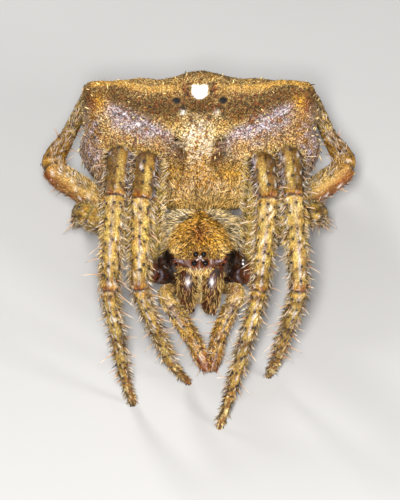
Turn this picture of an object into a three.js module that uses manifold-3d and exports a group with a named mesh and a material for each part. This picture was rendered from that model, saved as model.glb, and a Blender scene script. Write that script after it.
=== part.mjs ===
// A broad-shouldered orb weaver at life size, standing still with its front legs drawn in.
// Millimetres, +Z up. The head points to -Y and the tail to +Y; "l" is the side at -X.
import * as THREE from "three";
import { mergeVertices } from "three/addons/utils/BufferGeometryUtils.js";
import Module from "manifold-3d";

const wasm = await Module();
wasm.setup();

// ---- Driving dimensions -------------------------------------------------

const GAP = 0.08; // clearance between two solids that meet
const FACET_TOLERANCE = 0.025; // how far a cut solid may move when its small facets merge
const LEG_SIDES = 8; // faces round a leg
const BODY_SIDES = 28; // faces round the abdomen
const BODY_RINGS = 20; // rings from the front of the abdomen to its tail
const FOOT_FLAT = 0; // height of every foot's flat

const COLOURS = {
  leg: 0xb09a58,
  knee: 0x7a5a30,
  foot: 0x6b4a28,
  carapace: 0x7d5a32,
  chelicera: 0x6a3c22,
  fang: 0x1c0f0a,
  eye: 0x0a0808,
  abdomen: 0x9c7a44,
  spinneret: 0x5c4228,
  palp: 0xa07a3c,
};

// Each leg is a chain of joints from its root in the body to its foot: x to the side,
// y back from the front foot, z up. The joint radii and bends below go with them.
const LEG_JOINTS = {
  leg1_l: [
    [-1.6, 11.6, 3.6], [-3.7, 10.7, 4.4], [-3.6, 12.25, 15.45], [-4.05, 8.8, 13.9],
    [-4.2, 4.1, 9.8], [-2.0, 3.7, 2.55], [-0.8, 4.3, 0],
  ],
  leg1_r: [
    [1.6, 11.6, 3.6], [3.85, 10.7, 4.4], [4.35, 12.2, 15.4], [4.75, 8.9, 13.9],
    [4.2, 5.0, 8.8], [2.13, 1.15, 2.2], [1.38, 0, 0],
  ],
  leg2_l: [
    [-1.9, 12.4, 3.5], [-4.6, 12.6, 4.6], [-5.55, 12.8, 15.3], [-5.85, 9.0, 13.9],
    [-6.25, 3.4, 10.4], [-5.25, 2.15, 2.55], [-4.74, 2.25, 0],
  ],
  leg2_r: [
    [1.9, 12.4, 3.5], [4.6, 12.55, 4.6], [6.25, 12.8, 15.3], [6.45, 9.0, 13.9],
    [6.85, 3.4, 10.3], [5.45, 4.3, 2.5], [4.93, 4.95, 0],
  ],
  leg3_l: [
    [-1.9, 13.4, 3.5], [-3.9, 14.1, 4.1], [-7.95, 13.9, 7.5], [-8.75, 15.6, 6.1],
    [-8.95, 17.2, 3.5], [-9.1, 20.6, 1.3], [-9.1, 22.0, 0],
  ],
  leg3_r: [
    [1.9, 13.4, 3.5], [3.9, 14.1, 4.1], [7.85, 13.9, 7.6], [8.7, 15.6, 6.2],
    [9.0, 17.2, 3.6], [9.2, 20.6, 1.3], [9.2, 22.0, 0],
  ],
  leg4_l: [
    [-1.7, 14.4, 3.6], [-3.2, 15.3, 3.8], [-11.15, 19.3, 6.9], [-9.75, 22.1, 7.5],
    [-8.25, 28.2, 6.5], [-7.7, 32.4, 1.7], [-7.6, 33.3, 0],
  ],
  leg4_r: [
    [1.7, 14.4, 3.6], [3.2, 15.3, 3.8], [11.0, 19.3, 7.0], [9.55, 22.1, 7.5],
    [8.5, 27.6, 6.4], [7.9, 31.8, 1.7], [7.7, 32.7, 0],
  ],
};
const LEG_SEGMENTS = ["coxa", "femur", "patella", "tibia", "metatarsus", "tarsus"];
// Radius at each joint, root to foot, for the two long pairs, the short pair and the back pair.
const LEG_RADII = {
  leg1: [0.7, 0.6, 0.86, 0.76, 0.6, 0.34, 0.26],
  leg2: [0.7, 0.6, 0.86, 0.76, 0.6, 0.34, 0.26],
  leg3: [0.62, 0.55, 0.8, 0.6, 0.48, 0.32, 0.26],
  leg4: [0.7, 0.62, 0.86, 0.58, 0.5, 0.33, 0.26],
};
// How far each bend reaches along the two segments that meet there.
const LEG_BENDS = {
  leg1: [0, 0.8, 1.55, 0.8, 1.0, 0.5, 0],
  leg2: [0, 0.8, 1.55, 0.8, 1.0, 0.5, 0],
  leg3: [0, 0.6, 1.1, 0.5, 0.6, 0.4, 0],
  leg4: [0, 0.8, 1.2, 0.6, 0.9, 0.5, 0],
};
// How much thicker each segment is halfway along than a straight taper.
const LEG_SWELLINGS = [0.1, 0.2, 0.06, 0.03, 0, 0];
// How many pieces the straight part of each segment is made in.
const LEG_STRAIGHTS = [2, 3, 1, 2, 1, 1];

const PALP_JOINTS = {
  palp_l: [
    [-1.2, 10.6, 3.6], [-1.9, 9.5, 4.3], [-2.6, 8.3, 5.25], [-1.93, 7.2, 4.8],
    [-0.52, 6.0, 2.9], [0.47, 4.65, 1.0],
  ],
  palp_r: [
    [1.2, 10.6, 3.6], [1.9, 9.5, 4.3], [2.8, 8.3, 5.45], [2.28, 7.2, 5.0],
    [1.36, 6.1, 3.2], [0.93, 5.15, 0.5],
  ],
};
const PALP_RADII = [0.45, 0.45, 0.56, 0.56, 0.54, 0.34];
const PALP_BENDS = [0, 0.45, 0.6, 0.5, 0.45, 0];

// Abdomen: evenly spaced sections from the middle of the front face to the tail.
// [half width, top, bottom] and [distance back at mid height, backward lean per mm of height].
const ABDOMEN_SIZES = [
  [0, 9.9, 9.9], [5.0, 13.0, 7.1], [7.9, 14.4, 5.8], [8.7, 14.4, 4.9], [8.8, 12.7, 4.2],
  [8.6, 10.9, 3.6], [7.8, 9.0, 3.0], [6.5, 7.1, 2.6], [4.7, 5.2, 2.2], [2.6, 3.5, 1.9],
  [0, 2.6, 2.6],
];
const ABDOMEN_PLACES = [
  [17.2, 0.42], [17.2, 0.42], [17.7, 0.42], [19.1, 0.4], [21.0, 0.34], [23.4, 0.26],
  [25.8, 0.18], [28.0, 0.1], [30.0, 0.05], [31.8, 0], [33.0, 0],
];
// Humps on the abdomen: [x, y, z, radius, rise].
const HUMPS = [
  [-7.75, 20.6, 13.8, 1.6, 1.15],
  [7.75, 20.6, 13.8, 1.6, 1.05],
  [0, 22.4, 13.0, 1.9, 0.7],
];

// Head and thorax: [centre], [half sizes].
const HEAD = [[0, 11.5, 5.9], [2.55, 2.65, 2.15]];
const THORAX = [[0, 13.5, 4.5], [3.3, 3.1, 1.75]];
const FACE = [[0, 10.3, 6.3], [1.95, 1.35, 1.0]];
const STERNUM = [[0, 12.9, 3.3], [2.1, 3.0, 1.0]];
// The stalk between thorax and abdomen, and the spinnerets under the tail.
const PEDICEL = { radius: 0.6, length: 3, slope: 0.35, middle: [0, 17, 5.2] };
const SPINNERETS = [[0, 30.4, 1.7], [0.85, 1.0, 0.8]];
const CHELICERA = { top: [0.84, 9.66, 6.4], foot: [0.87, 8.37, 3.05], radius: 0.81 };
// Each eye: [across, back, up, radius].
const EYES = {
  eye_front_median: [0.39, 9.32, 7.09, 0.22],
  eye_back_median: [0.28, 9.8, 7.52, 0.2],
  eye_front_lateral: [1.7, 9.66, 6.62, 0.14],
  eye_back_lateral: [1.84, 9.97, 6.86, 0.14],
};

// ---- Solids -------------------------------------------------------------

function vector(values) {
  return new THREE.Vector3(...values);
}

function toSolid(geometry) {
  const bare = geometry.clone();
  bare.deleteAttribute("normal");
  bare.deleteAttribute("uv");
  const merged = mergeVertices(bare, 1e-4);
  return new wasm.Manifold(
    new wasm.Mesh({
      numProp: 3,
      vertProperties: merged.attributes.position.array,
      triVerts: new Uint32Array(merged.index.array),
    }),
  );
}

function toGeometry(solid) {
  const mesh = solid.getMesh();
  const geometry = new THREE.BufferGeometry();
  geometry.setAttribute("position", new THREE.BufferAttribute(mesh.vertProperties, 3));
  geometry.setIndex(new THREE.BufferAttribute(mesh.triVerts, 1));
  geometry.computeVertexNormals();
  return geometry;
}

// Moves every vertex of a geometry by a function of its place.
function reshape(geometry, move) {
  const position = geometry.attributes.position;
  const point = new THREE.Vector3();
  for (let i = 0; i < position.count; i++) {
    point.fromBufferAttribute(position, i);
    move(point);
    position.setXYZ(i, point.x, point.y, point.z);
  }
  geometry.computeVertexNormals();
  return geometry;
}

function ellipsoid([centre, halfSizes], across = 20, down = 14, grow = 0) {
  return new THREE.SphereGeometry(1, across, down)
    .scale(...halfSizes.map((size) => size + grow))
    .translate(...centre);
}

// ---- Limbs: round bars that follow a chain of joints with rounded bends --

// A circular arc that leaves a point in one direction and turns towards another.
class Arc extends THREE.Curve {
  constructor(start, heading, turnTo, radius, from, to) {
    super();
    Object.assign(this, { start, heading, turnTo, radius, from, to });
  }

  getPoint(t, target = new THREE.Vector3()) {
    const angle = THREE.MathUtils.lerp(this.from, this.to, t);
    return target
      .copy(this.start)
      .addScaledVector(this.heading, this.radius * Math.sin(angle))
      .addScaledVector(this.turnTo, this.radius * (1 - Math.cos(angle)));
  }

  getTangent(t, target = new THREE.Vector3()) {
    const angle = THREE.MathUtils.lerp(this.from, this.to, t);
    return target
      .copy(this.heading)
      .multiplyScalar(Math.cos(angle))
      .addScaledVector(this.turnTo, Math.sin(angle));
  }
}

// The bend at joint i of a chain, as where it starts and ends and an arc for each half.
function bendAt(joints, bends, i) {
  const corner = joints[i];
  if (i === 0 || i === joints.length - 1) return { before: corner, after: corner };
  const heading = corner.clone().sub(joints[i - 1]).normalize();
  const leaving = joints[i + 1].clone().sub(corner).normalize();
  const angle = heading.angleTo(leaving);
  const turnTo = leaving.clone().addScaledVector(heading, -leaving.dot(heading)).normalize();
  const radius = bends[i] / Math.tan(angle / 2);
  const before = corner.clone().addScaledVector(heading, -bends[i]);
  const after = corner.clone().addScaledVector(leaving, bends[i]);
  const arrive = new Arc(before, heading, turnTo, radius, 0, angle / 2);
  const depart = new Arc(before, heading, turnTo, radius, angle / 2, angle);
  return { before, after, arrive, depart };
}

// Stations from the middle of one joint's bend to the middle of another's.
// Each holds its centre, its direction, and how far it is along its own segment.
function stationsOf({ joints, bends, straight = [] }, first, last, gap) {
  const stations = [];
  const add = (curve, steps, segment, from, to) => {
    for (let k = stations.length ? 1 : 0; k <= steps; k++) {
      const t = k / steps;
      const share = THREE.MathUtils.lerp(from, to, t);
      stations.push({ centre: curve.getPoint(t), along: curve.getTangent(t), segment, share });
    }
  };
  for (let i = first; i < last; i++) {
    const start = bendAt(joints, bends, i);
    const end = bendAt(joints, bends, i + 1);
    if (start.depart) add(start.depart, 2, i, 0, 0.2);
    const [from, to] = [start.depart ? 0.2 : 0, end.arrive ? 0.8 : 1];
    add(new THREE.LineCurve3(start.after, end.before), straight[i] ?? 2, i, from, to);
    if (end.arrive) add(end.arrive, 2, i, 0.8, 1);
  }
  const begin = stations[0];
  const finish = stations.at(-1);
  if (first > 0) begin.centre.addScaledVector(begin.along, gap / 2);
  if (last < joints.length - 1) finish.centre.addScaledVector(finish.along, -gap / 2);
  return stations;
}

// A closed bar through the stations, with radii given by segment and share along it.
function bar(stations, radiusAt, sideways, sides, grow = 0) {
  const rings = stations.length - 1;
  const geometry = new THREE.CylinderGeometry(1, 1, 1, sides, rings);
  return reshape(geometry, (point) => {
    const station = stations[Math.round((point.y + 0.5) * rings)];
    const side = sideways.clone().addScaledVector(station.along, -sideways.dot(station.along));
    side.normalize();
    const across = new THREE.Vector3().crossVectors(side, station.along);
    const radius = radiusAt(station) + grow;
    const { x, z } = point;
    point.copy(station.centre);
    point.addScaledVector(side, x * radius);
    point.addScaledVector(across, z * radius);
  });
}

// A limb's bar from one joint to another; the foot of a leg ends in a level flat.
function limb(chain, first, last, { grow = 0, sides = LEG_SIDES } = {}) {
  const { joints, radii, swellings, foot } = chain;
  const stations = stationsOf(chain, first, last, GAP);
  if (foot && last === joints.length - 1) {
    stations.at(-1).along = new THREE.Vector3(0, 0, -1);
  }
  const radiusAt = ({ segment, share }) =>
    THREE.MathUtils.lerp(radii[segment], radii[segment + 1], share) +
    swellings[segment] * Math.sin(Math.PI * share);
  return bar(stations, radiusAt, chain.sideways, sides, grow);
}

function legChain(name) {
  const joints = LEG_JOINTS[name].map(vector);
  joints.at(-1).z = FOOT_FLAT;
  const up = joints[2].clone().sub(joints[1]);
  const out = joints[4].clone().sub(joints[2]);
  return {
    joints,
    radii: LEG_RADII[name.slice(0, 4)],
    bends: LEG_BENDS[name.slice(0, 4)],
    straight: LEG_STRAIGHTS,
    swellings: LEG_SWELLINGS,
    sideways: new THREE.Vector3().crossVectors(out, up).normalize(),
    foot: true,
  };
}

function palpChain(name) {
  return {
    joints: PALP_JOINTS[name].map(vector),
    radii: PALP_RADII,
    bends: PALP_BENDS,
    swellings: [0, 0.05, 0, 0.03, 0.08],
    sideways: new THREE.Vector3(1, 0, 0),
    foot: false,
  };
}

// ---- Abdomen ------------------------------------------------------------

function abdomenGeometry() {
  const sizes = new THREE.CatmullRomCurve3(ABDOMEN_SIZES.map(vector));
  const places = new THREE.CatmullRomCurve3(ABDOMEN_PLACES.map(([y, lean]) => vector([y, lean, 0])));
  const sphere = new THREE.SphereGeometry(1, BODY_SIDES, BODY_RINGS).rotateX(-Math.PI / 2);
  const humps = HUMPS.map(([x, y, z, radius, rise]) => ({ peak: vector([x, y, z]), radius, rise }));
  const middle = vector([0, 24, 7]);
  return reshape(sphere, (point) => {
    const share = Math.acos(THREE.MathUtils.clamp(-point.y, -1, 1)) / Math.PI;
    const ring = Math.hypot(point.x, point.z) || 1;
    const cos = point.x / ring;
    const sin = point.z / ring;
    const { x: halfWidth, y: top, z: bottom } = sizes.getPoint(share);
    const { x: back, y: lean } = places.getPoint(share);
    const half = (top - bottom) / 2;
    const squareness = sin > 0 ? THREE.MathUtils.lerp(0.36, 1, share) : 0.9;
    const width = halfWidth * Math.sign(cos) * Math.abs(cos) ** squareness;
    const rise = half * Math.sign(sin) * Math.abs(sin) ** squareness;
    point.set(width, back + lean * rise, (top + bottom) / 2 + rise);
    for (const { peak, radius, rise: lift } of humps) {
      const outward = point.clone().sub(middle).normalize();
      const near = Math.exp(-((point.distanceTo(peak) / radius) ** 2));
      point.addScaledVector(outward, lift * near);
    }
  });
}

// ---- Head ---------------------------------------------------------------

function chelicera(side, grow = 0) {
  const top = vector(CHELICERA.top);
  const foot = vector(CHELICERA.foot);
  const length = foot.distanceTo(top);
  const lean = Math.atan2(top.y - foot.y, top.z - foot.z);
  const geometry = new THREE.SphereGeometry(1, 10, 8);
  reshape(geometry, (point) => {
    const level = (point.z + 1) / 2;
    const forward = point.y < 0 ? 1.12 : 0.9;
    point.x *= (CHELICERA.radius + grow) * (0.86 + 0.14 * level);
    point.y *= (CHELICERA.radius + grow) * forward;
    point.z *= length / 2 + 0.1 + grow;
  });
  return geometry
    .rotateX(-lean)
    .translate(side * (top.x + foot.x) / 2, (top.y + foot.y) / 2, (top.z + foot.z) / 2);
}

function fang(side) {
  const [x, y, z] = CHELICERA.foot;
  const joints = [
    vector([side * (x + 0.1), y + 0.1, z - 0.1]),
    vector([side * (x + 0.05), y + 0.45, z - 0.65]),
    vector([side * (x - 0.5), y + 0.85, z - 0.6]),
  ];
  const stations = stationsOf({ joints, bends: [0, 0.5, 0] }, 0, 2, 0);
  const radiusAt = ({ segment, share }) => 0.3 - 0.1 * (segment + share);
  return bar(stations, radiusAt, new THREE.Vector3(0, 1, 0), 8);
}

// ---- Assembly -----------------------------------------------------------

const group = new THREE.Group();
group.name = "orb_weaver";

function addMesh(name, geometry, colour, roughness = 0.6) {
  const material = new THREE.MeshStandardMaterial({ color: colour, roughness, metalness: 0 });
  const mesh = new THREE.Mesh(geometry, material);
  mesh.name = name;
  group.add(mesh);
}

const abdomen = toSolid(abdomenGeometry());
let prosoma = toSolid(ellipsoid(HEAD, 16, 10))
  .add(toSolid(ellipsoid(THORAX, 16, 9)))
  .add(toSolid(ellipsoid(FACE, 14, 8)))
  .add(toSolid(ellipsoid(STERNUM, 12, 6)));
const clearance = [];

for (const name of Object.keys(LEG_JOINTS)) {
  const chain = legChain(name);
  prosoma = prosoma.add(toSolid(limb(chain, 0, 1, { sides: 7 })));
  clearance.push(toSolid(limb(chain, 1, 2, { grow: GAP })));
  LEG_SEGMENTS.slice(1).forEach((segment, i) => {
    const colour = { patella: COLOURS.knee, tarsus: COLOURS.foot }[segment] ?? COLOURS.leg;
    addMesh(`${name}_${segment}`, limb(chain, i + 1, i + 2), colour);
  });
}

for (const name of Object.keys(PALP_JOINTS)) {
  const chain = palpChain(name);
  prosoma = prosoma.add(toSolid(limb(chain, 0, 1, { sides: 7 })));
  clearance.push(toSolid(limb(chain, 1, 3, { grow: GAP, sides: 7 })));
  addMesh(`${name}_femur`, limb(chain, 1, 3, { sides: 7 }), COLOURS.palp);
  addMesh(`${name}_tarsus`, limb(chain, 3, 5, { sides: 7 }), COLOURS.palp);
}

for (const [side, letter] of [[-1, "l"], [1, "r"]]) {
  const jawSpace = toSolid(chelicera(side, GAP));
  const bareFang = toSolid(fang(side)).subtract(jawSpace).simplify(FACET_TOLERANCE);
  clearance.push(jawSpace);
  addMesh(`chelicera_${letter}`, chelicera(side), COLOURS.chelicera, 0.35);
  addMesh(`fang_${letter}`, toGeometry(bareFang), COLOURS.fang, 0.25);
  for (const [name, [x, y, z, radius]] of Object.entries(EYES)) {
    const eyeball = (size) => new THREE.SphereGeometry(size, 8, 5).translate(side * x, y, z);
    clearance.push(toSolid(eyeball(radius + GAP / 2)));
    addMesh(`${name}_${letter}`, eyeball(radius), COLOURS.eye, 0.08);
  }
}

for (const space of clearance) prosoma = prosoma.subtract(space);
prosoma = prosoma.simplify(FACET_TOLERANCE);
const stalk = new THREE.CylinderGeometry(PEDICEL.radius, PEDICEL.radius, PEDICEL.length, 10);
const pedicel = toSolid(stalk.rotateX(Math.PI / 2 - PEDICEL.slope).translate(...PEDICEL.middle));
addMesh("abdomen", toGeometry(abdomen), COLOURS.abdomen, 0.7);
addMesh("prosoma", toGeometry(prosoma), COLOURS.carapace, 0.55);
addMesh("pedicel", toGeometry(pedicel.subtract(abdomen).subtract(prosoma)), COLOURS.spinneret);

const spinnerets = toSolid(ellipsoid(SPINNERETS, 12, 8));
addMesh("spinnerets", toGeometry(spinnerets.subtract(abdomen)), COLOURS.spinneret);

// The frame's origin is the middle of the footprint, at the height of the feet.
const box = new THREE.Box3().setFromObject(group);
group.position.set(-(box.min.x + box.max.x) / 2, -(box.min.y + box.max.y) / 2, -box.min.z);

export default group;
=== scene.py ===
"""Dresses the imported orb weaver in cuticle, hairs and spines, and sets it on a studio floor."""

import math

import bmesh
import bpy
import numpy as np
from bpy.props import FloatProperty, FloatVectorProperty, IntProperty, PointerProperty
from mathutils import Matrix, Vector
from mathutils.bvhtree import BVHTree


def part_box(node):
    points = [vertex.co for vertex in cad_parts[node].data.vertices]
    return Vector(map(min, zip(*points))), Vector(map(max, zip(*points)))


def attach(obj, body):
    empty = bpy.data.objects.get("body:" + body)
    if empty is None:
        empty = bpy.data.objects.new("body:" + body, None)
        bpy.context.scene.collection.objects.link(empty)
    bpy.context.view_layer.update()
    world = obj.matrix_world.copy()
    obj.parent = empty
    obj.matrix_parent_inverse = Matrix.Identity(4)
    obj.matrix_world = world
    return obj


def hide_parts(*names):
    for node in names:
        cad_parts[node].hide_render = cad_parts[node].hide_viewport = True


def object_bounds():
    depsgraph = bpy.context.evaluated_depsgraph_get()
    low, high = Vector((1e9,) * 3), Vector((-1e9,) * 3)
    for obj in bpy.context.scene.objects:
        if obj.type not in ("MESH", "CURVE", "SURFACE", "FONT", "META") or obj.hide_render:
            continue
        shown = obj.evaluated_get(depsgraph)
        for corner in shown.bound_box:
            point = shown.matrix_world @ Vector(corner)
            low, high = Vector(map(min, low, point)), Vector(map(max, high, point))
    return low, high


bl_info = {
    "name": "Orb weaver",
    "version": (1, 0, 0),
    "blender": (4, 5, 0),
    "location": "3D View > Sidebar > Orb weaver",
    "description": "Builds the skin, eyes, coat and studio of a broad-shouldered orb weaver",
    "category": "Object",
}

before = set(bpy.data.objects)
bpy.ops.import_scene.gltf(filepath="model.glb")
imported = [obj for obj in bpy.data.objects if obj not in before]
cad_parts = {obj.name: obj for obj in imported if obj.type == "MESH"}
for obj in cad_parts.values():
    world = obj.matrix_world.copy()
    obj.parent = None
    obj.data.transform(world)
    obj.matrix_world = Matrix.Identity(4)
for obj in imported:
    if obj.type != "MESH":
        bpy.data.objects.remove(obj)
CAD_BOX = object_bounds()
MM = 0.001  # the shapes below are worked out in millimetres and shrunk at the end
SKIN = "spider_skin"
LEGS = [f"leg{pair}_{side}" for pair in (1, 2, 3, 4) for side in "lr"]
PALPS = ["palp_l", "palp_r"]
JAWS = ["chelicera_l", "chelicera_r"]
LEG_SEGMENTS = ("femur", "patella", "tibia", "metatarsus", "tarsus")
FEMUR, PATELLA, TIBIA, METATARSUS, TARSUS = range(5)
FAR = 9.0  # millimetres, beyond any distance that a look asks about
WELD = 0.002  # millimetres between vertices of a CAD node that are one
FLOOR_GAP = 0.003  # millimetres that every hair keeps from the floor
EYES = [
    f"eye_{row}_{place}_{side}"
    for row in ("front", "back")
    for place in ("median", "lateral")
    for side in "lr"
]


def linear(red, green, blue):
    """A display colour of 0 to 255 as the scene-linear colour that a shader takes."""
    return tuple(((value / 255 + 0.055) / 1.055) ** 2.4 for value in (red, green, blue))


def box_mm(node):
    """Lowest and highest corner of a CAD node, in millimetres."""
    low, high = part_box(node)
    return np.array(low) / MM, np.array(high) / MM


# ---- Settings -----------------------------------------------------------

# Colours mixed by the looks. Besides the markings, lilac and snow also paint highlights, and umber
# and ink also paint shade.
PIGMENTS = {
    "snow": linear(250, 246, 240),
    "cream": linear(236, 208, 142),
    "straw": linear(214, 188, 100),
    "tan": linear(196, 150, 80),
    "gold": linear(208, 152, 38),
    "olive": linear(138, 106, 36),
    "rust": linear(138, 58, 16),
    "umber": linear(74, 44, 16),
    "ink": linear(14, 10, 7),
    "lilac": linear(190, 178, 192),
}


def pigment_property(name):
    return FloatVectorProperty(
        name=name.capitalize(),
        description=f"Colour of the {name} pigment in skin and hairs",
        default=PIGMENTS[name],
        subtype="COLOR",
        min=0,
        max=1,
    )


def length_property(name, description, millimetres):
    return FloatProperty(
        name=name,
        description=description,
        default=millimetres * MM,
        min=0,
        subtype="DISTANCE",
        unit="LENGTH",
    )


def count_property(name, description, default, **limits):
    return IntProperty(name=name, description=description, default=default, **limits)


class SpiderSkinSettings(bpy.types.PropertyGroup):
    """Sizes and pigments of the skin"""

    coat_depth: length_property(
        "Coat depth", "How far the skin lies inside the solids, to leave room for hairs", 0.04
    )
    ring_step: length_property("Ring step", "Distance between two rings of a leg", 0.28)
    leg_sides: count_property("Leg sides", "Faces round a leg", 24, min=8, max=40)
    abdomen_grain: length_property("Abdomen grain", "Size of a face of the abdomen", 0.16)
    head_grain: length_property("Head grain", "Size of a face of the head and thorax", 0.12)
    for pigment in PIGMENTS:
        __annotations__[pigment] = pigment_property(pigment)
    del pigment


class SpiderCoatSettings(bpy.types.PropertyGroup):
    """How many hairs and spines there are, and how thick"""

    abdomen_hairs: count_property("Abdomen hairs", "Short hairs on each abdomen piece", 26000)
    leg_hairs: count_property("Leg hairs", "Hairs on each leg", 6800)
    palp_hairs: count_property("Palp hairs", "Hairs on each palp", 2600)
    jaw_hairs: count_property("Jaw hairs", "Hairs on each jaw", 620)
    head_hairs: count_property("Head hairs", "Golden hairs on the head and thorax", 17000)
    hair_width: length_property("Hair width", "Width of a short hair at its root", 0.066)
    spine_length: length_property("Spine length", "Length of a leg spine", 1.25)
    spine_width: length_property("Spine width", "Width of a leg spine at its root", 0.074)


class SpiderStageSettings(bpy.types.PropertyGroup):
    """Floor, lights and camera"""

    floor_colour: FloatVectorProperty(
        name="Floor colour",
        description="Colour of the plain floor",
        default=(0.5, 0.49, 0.48),
        subtype="COLOR",
        min=0,
        max=1,
    )
    key_power: FloatProperty(
        name="Key light", description="Power of the main soft light", default=0.46, unit="POWER"
    )
    elevation: FloatProperty(
        name="Camera elevation",
        description="Angle of the camera above the floor",
        default=math.radians(45),
        subtype="ANGLE",
        unit="ROTATION",
    )
    distance: length_property("Camera distance", "From the camera to the point it aims at", 220)
    field: length_property("Field", "Height that the picture covers at the aim point", 35.7)


# ---- Numbers ------------------------------------------------------------


def near(value, centre, width):
    """1 at the centre, fading to 0 over the width."""
    return np.exp(-(((value - centre) / width) ** 2))


def ramp(low, high, value):
    """0 below low, 1 above high, smooth between them."""
    share = np.clip((value - low) / (high - low), 0, 1)
    return share * share * (3 - 2 * share)


def unit(vectors):
    return vectors / np.maximum(np.linalg.norm(vectors, axis=-1, keepdims=True), 1e-12)


def dots(a, b):
    return (a * b).sum(-1)


def vectors(x, y, z):
    """Vectors from their three parts, each an array or one number for all."""
    return np.stack(np.broadcast_arrays(x, y, z), 1)


def ripple(points, size, seed):
    """A smooth seeded unevenness of -1 to 1, with lumps of about the given size."""
    rng = np.random.default_rng(seed)
    waves = unit(rng.normal(size=(9, 3))) * rng.uniform(0.7, 1.5, (9, 1)) * math.tau / (2 * size)
    return np.sin(points @ waves.T + rng.uniform(0, math.tau, 9)).sum(1) / 3.4


def smoothed(values, reach):
    """Values along a line, averaged over their neighbours, with both ends held."""
    kernel = np.exp(-np.linspace(-2, 2, 2 * reach + 1) ** 2)
    kernel /= kernel.sum()
    first = 2 * values[0] - values[reach:0:-1]
    last = 2 * values[-1] - values[-2 : -reach - 2 : -1]
    padded = np.concatenate([first, values, last])
    return np.stack([np.convolve(column, kernel, "valid") for column in padded.T], 1)


def line_distance(x, y, line):
    """Distance of points to a line through several places."""
    best = np.full(x.shape, FAR)
    for (ax, ay), (bx, by) in zip(line, line[1:]):
        squared = (bx - ax) ** 2 + (by - ay) ** 2
        share = np.clip(((x - ax) * (bx - ax) + (y - ay) * (by - ay)) / squared, 0, 1)
        best = np.minimum(best, np.hypot(x - ax - share * (bx - ax), y - ay - share * (by - ay)))
    return best


# ---- Limbs --------------------------------------------------------------


def node_copy(name):
    """A merged copy of a CAD node's mesh, in millimetres."""
    shape = bmesh.new()
    shape.from_mesh(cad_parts[name].data)
    bmesh.ops.scale(shape, vec=(1 / MM,) * 3, verts=shape.verts)
    bmesh.ops.remove_doubles(shape, verts=shape.verts, dist=WELD)
    shape.normal_update()
    return shape


def rings_of(node):
    """Centre and radius of each ring of a round bar, found from one end to the other."""
    shape = node_copy(node)
    ends = [
        vertex
        for vertex in shape.verts
        if len(vertex.link_faces) > 5
        and all(f.normal.dot(vertex.link_faces[0].normal) > 0.999 for f in vertex.link_faces)
    ]
    ring = {ends[0]}
    seen = set(ring)
    rings = []
    while ring:
        if len(ring) > 3:
            places = np.array([vertex.co for vertex in ring])
            centre = places.mean(0)
            rings.append((*centre, np.linalg.norm(places - centre, axis=1).mean()))
        ring = {edge.other_vert(vertex) for vertex in ring for edge in vertex.link_edges} - seen
        seen |= ring
    shape.free()
    return np.array(rings)


# Turn and length share of the rows of spines down a segment.
ROWS = ((-1.5, 1.0), (1.5, 1.0), (-1.0, 0.6), (1.0, 0.7), (2.5, 0.9), (-2.5, 0.9))


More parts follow.
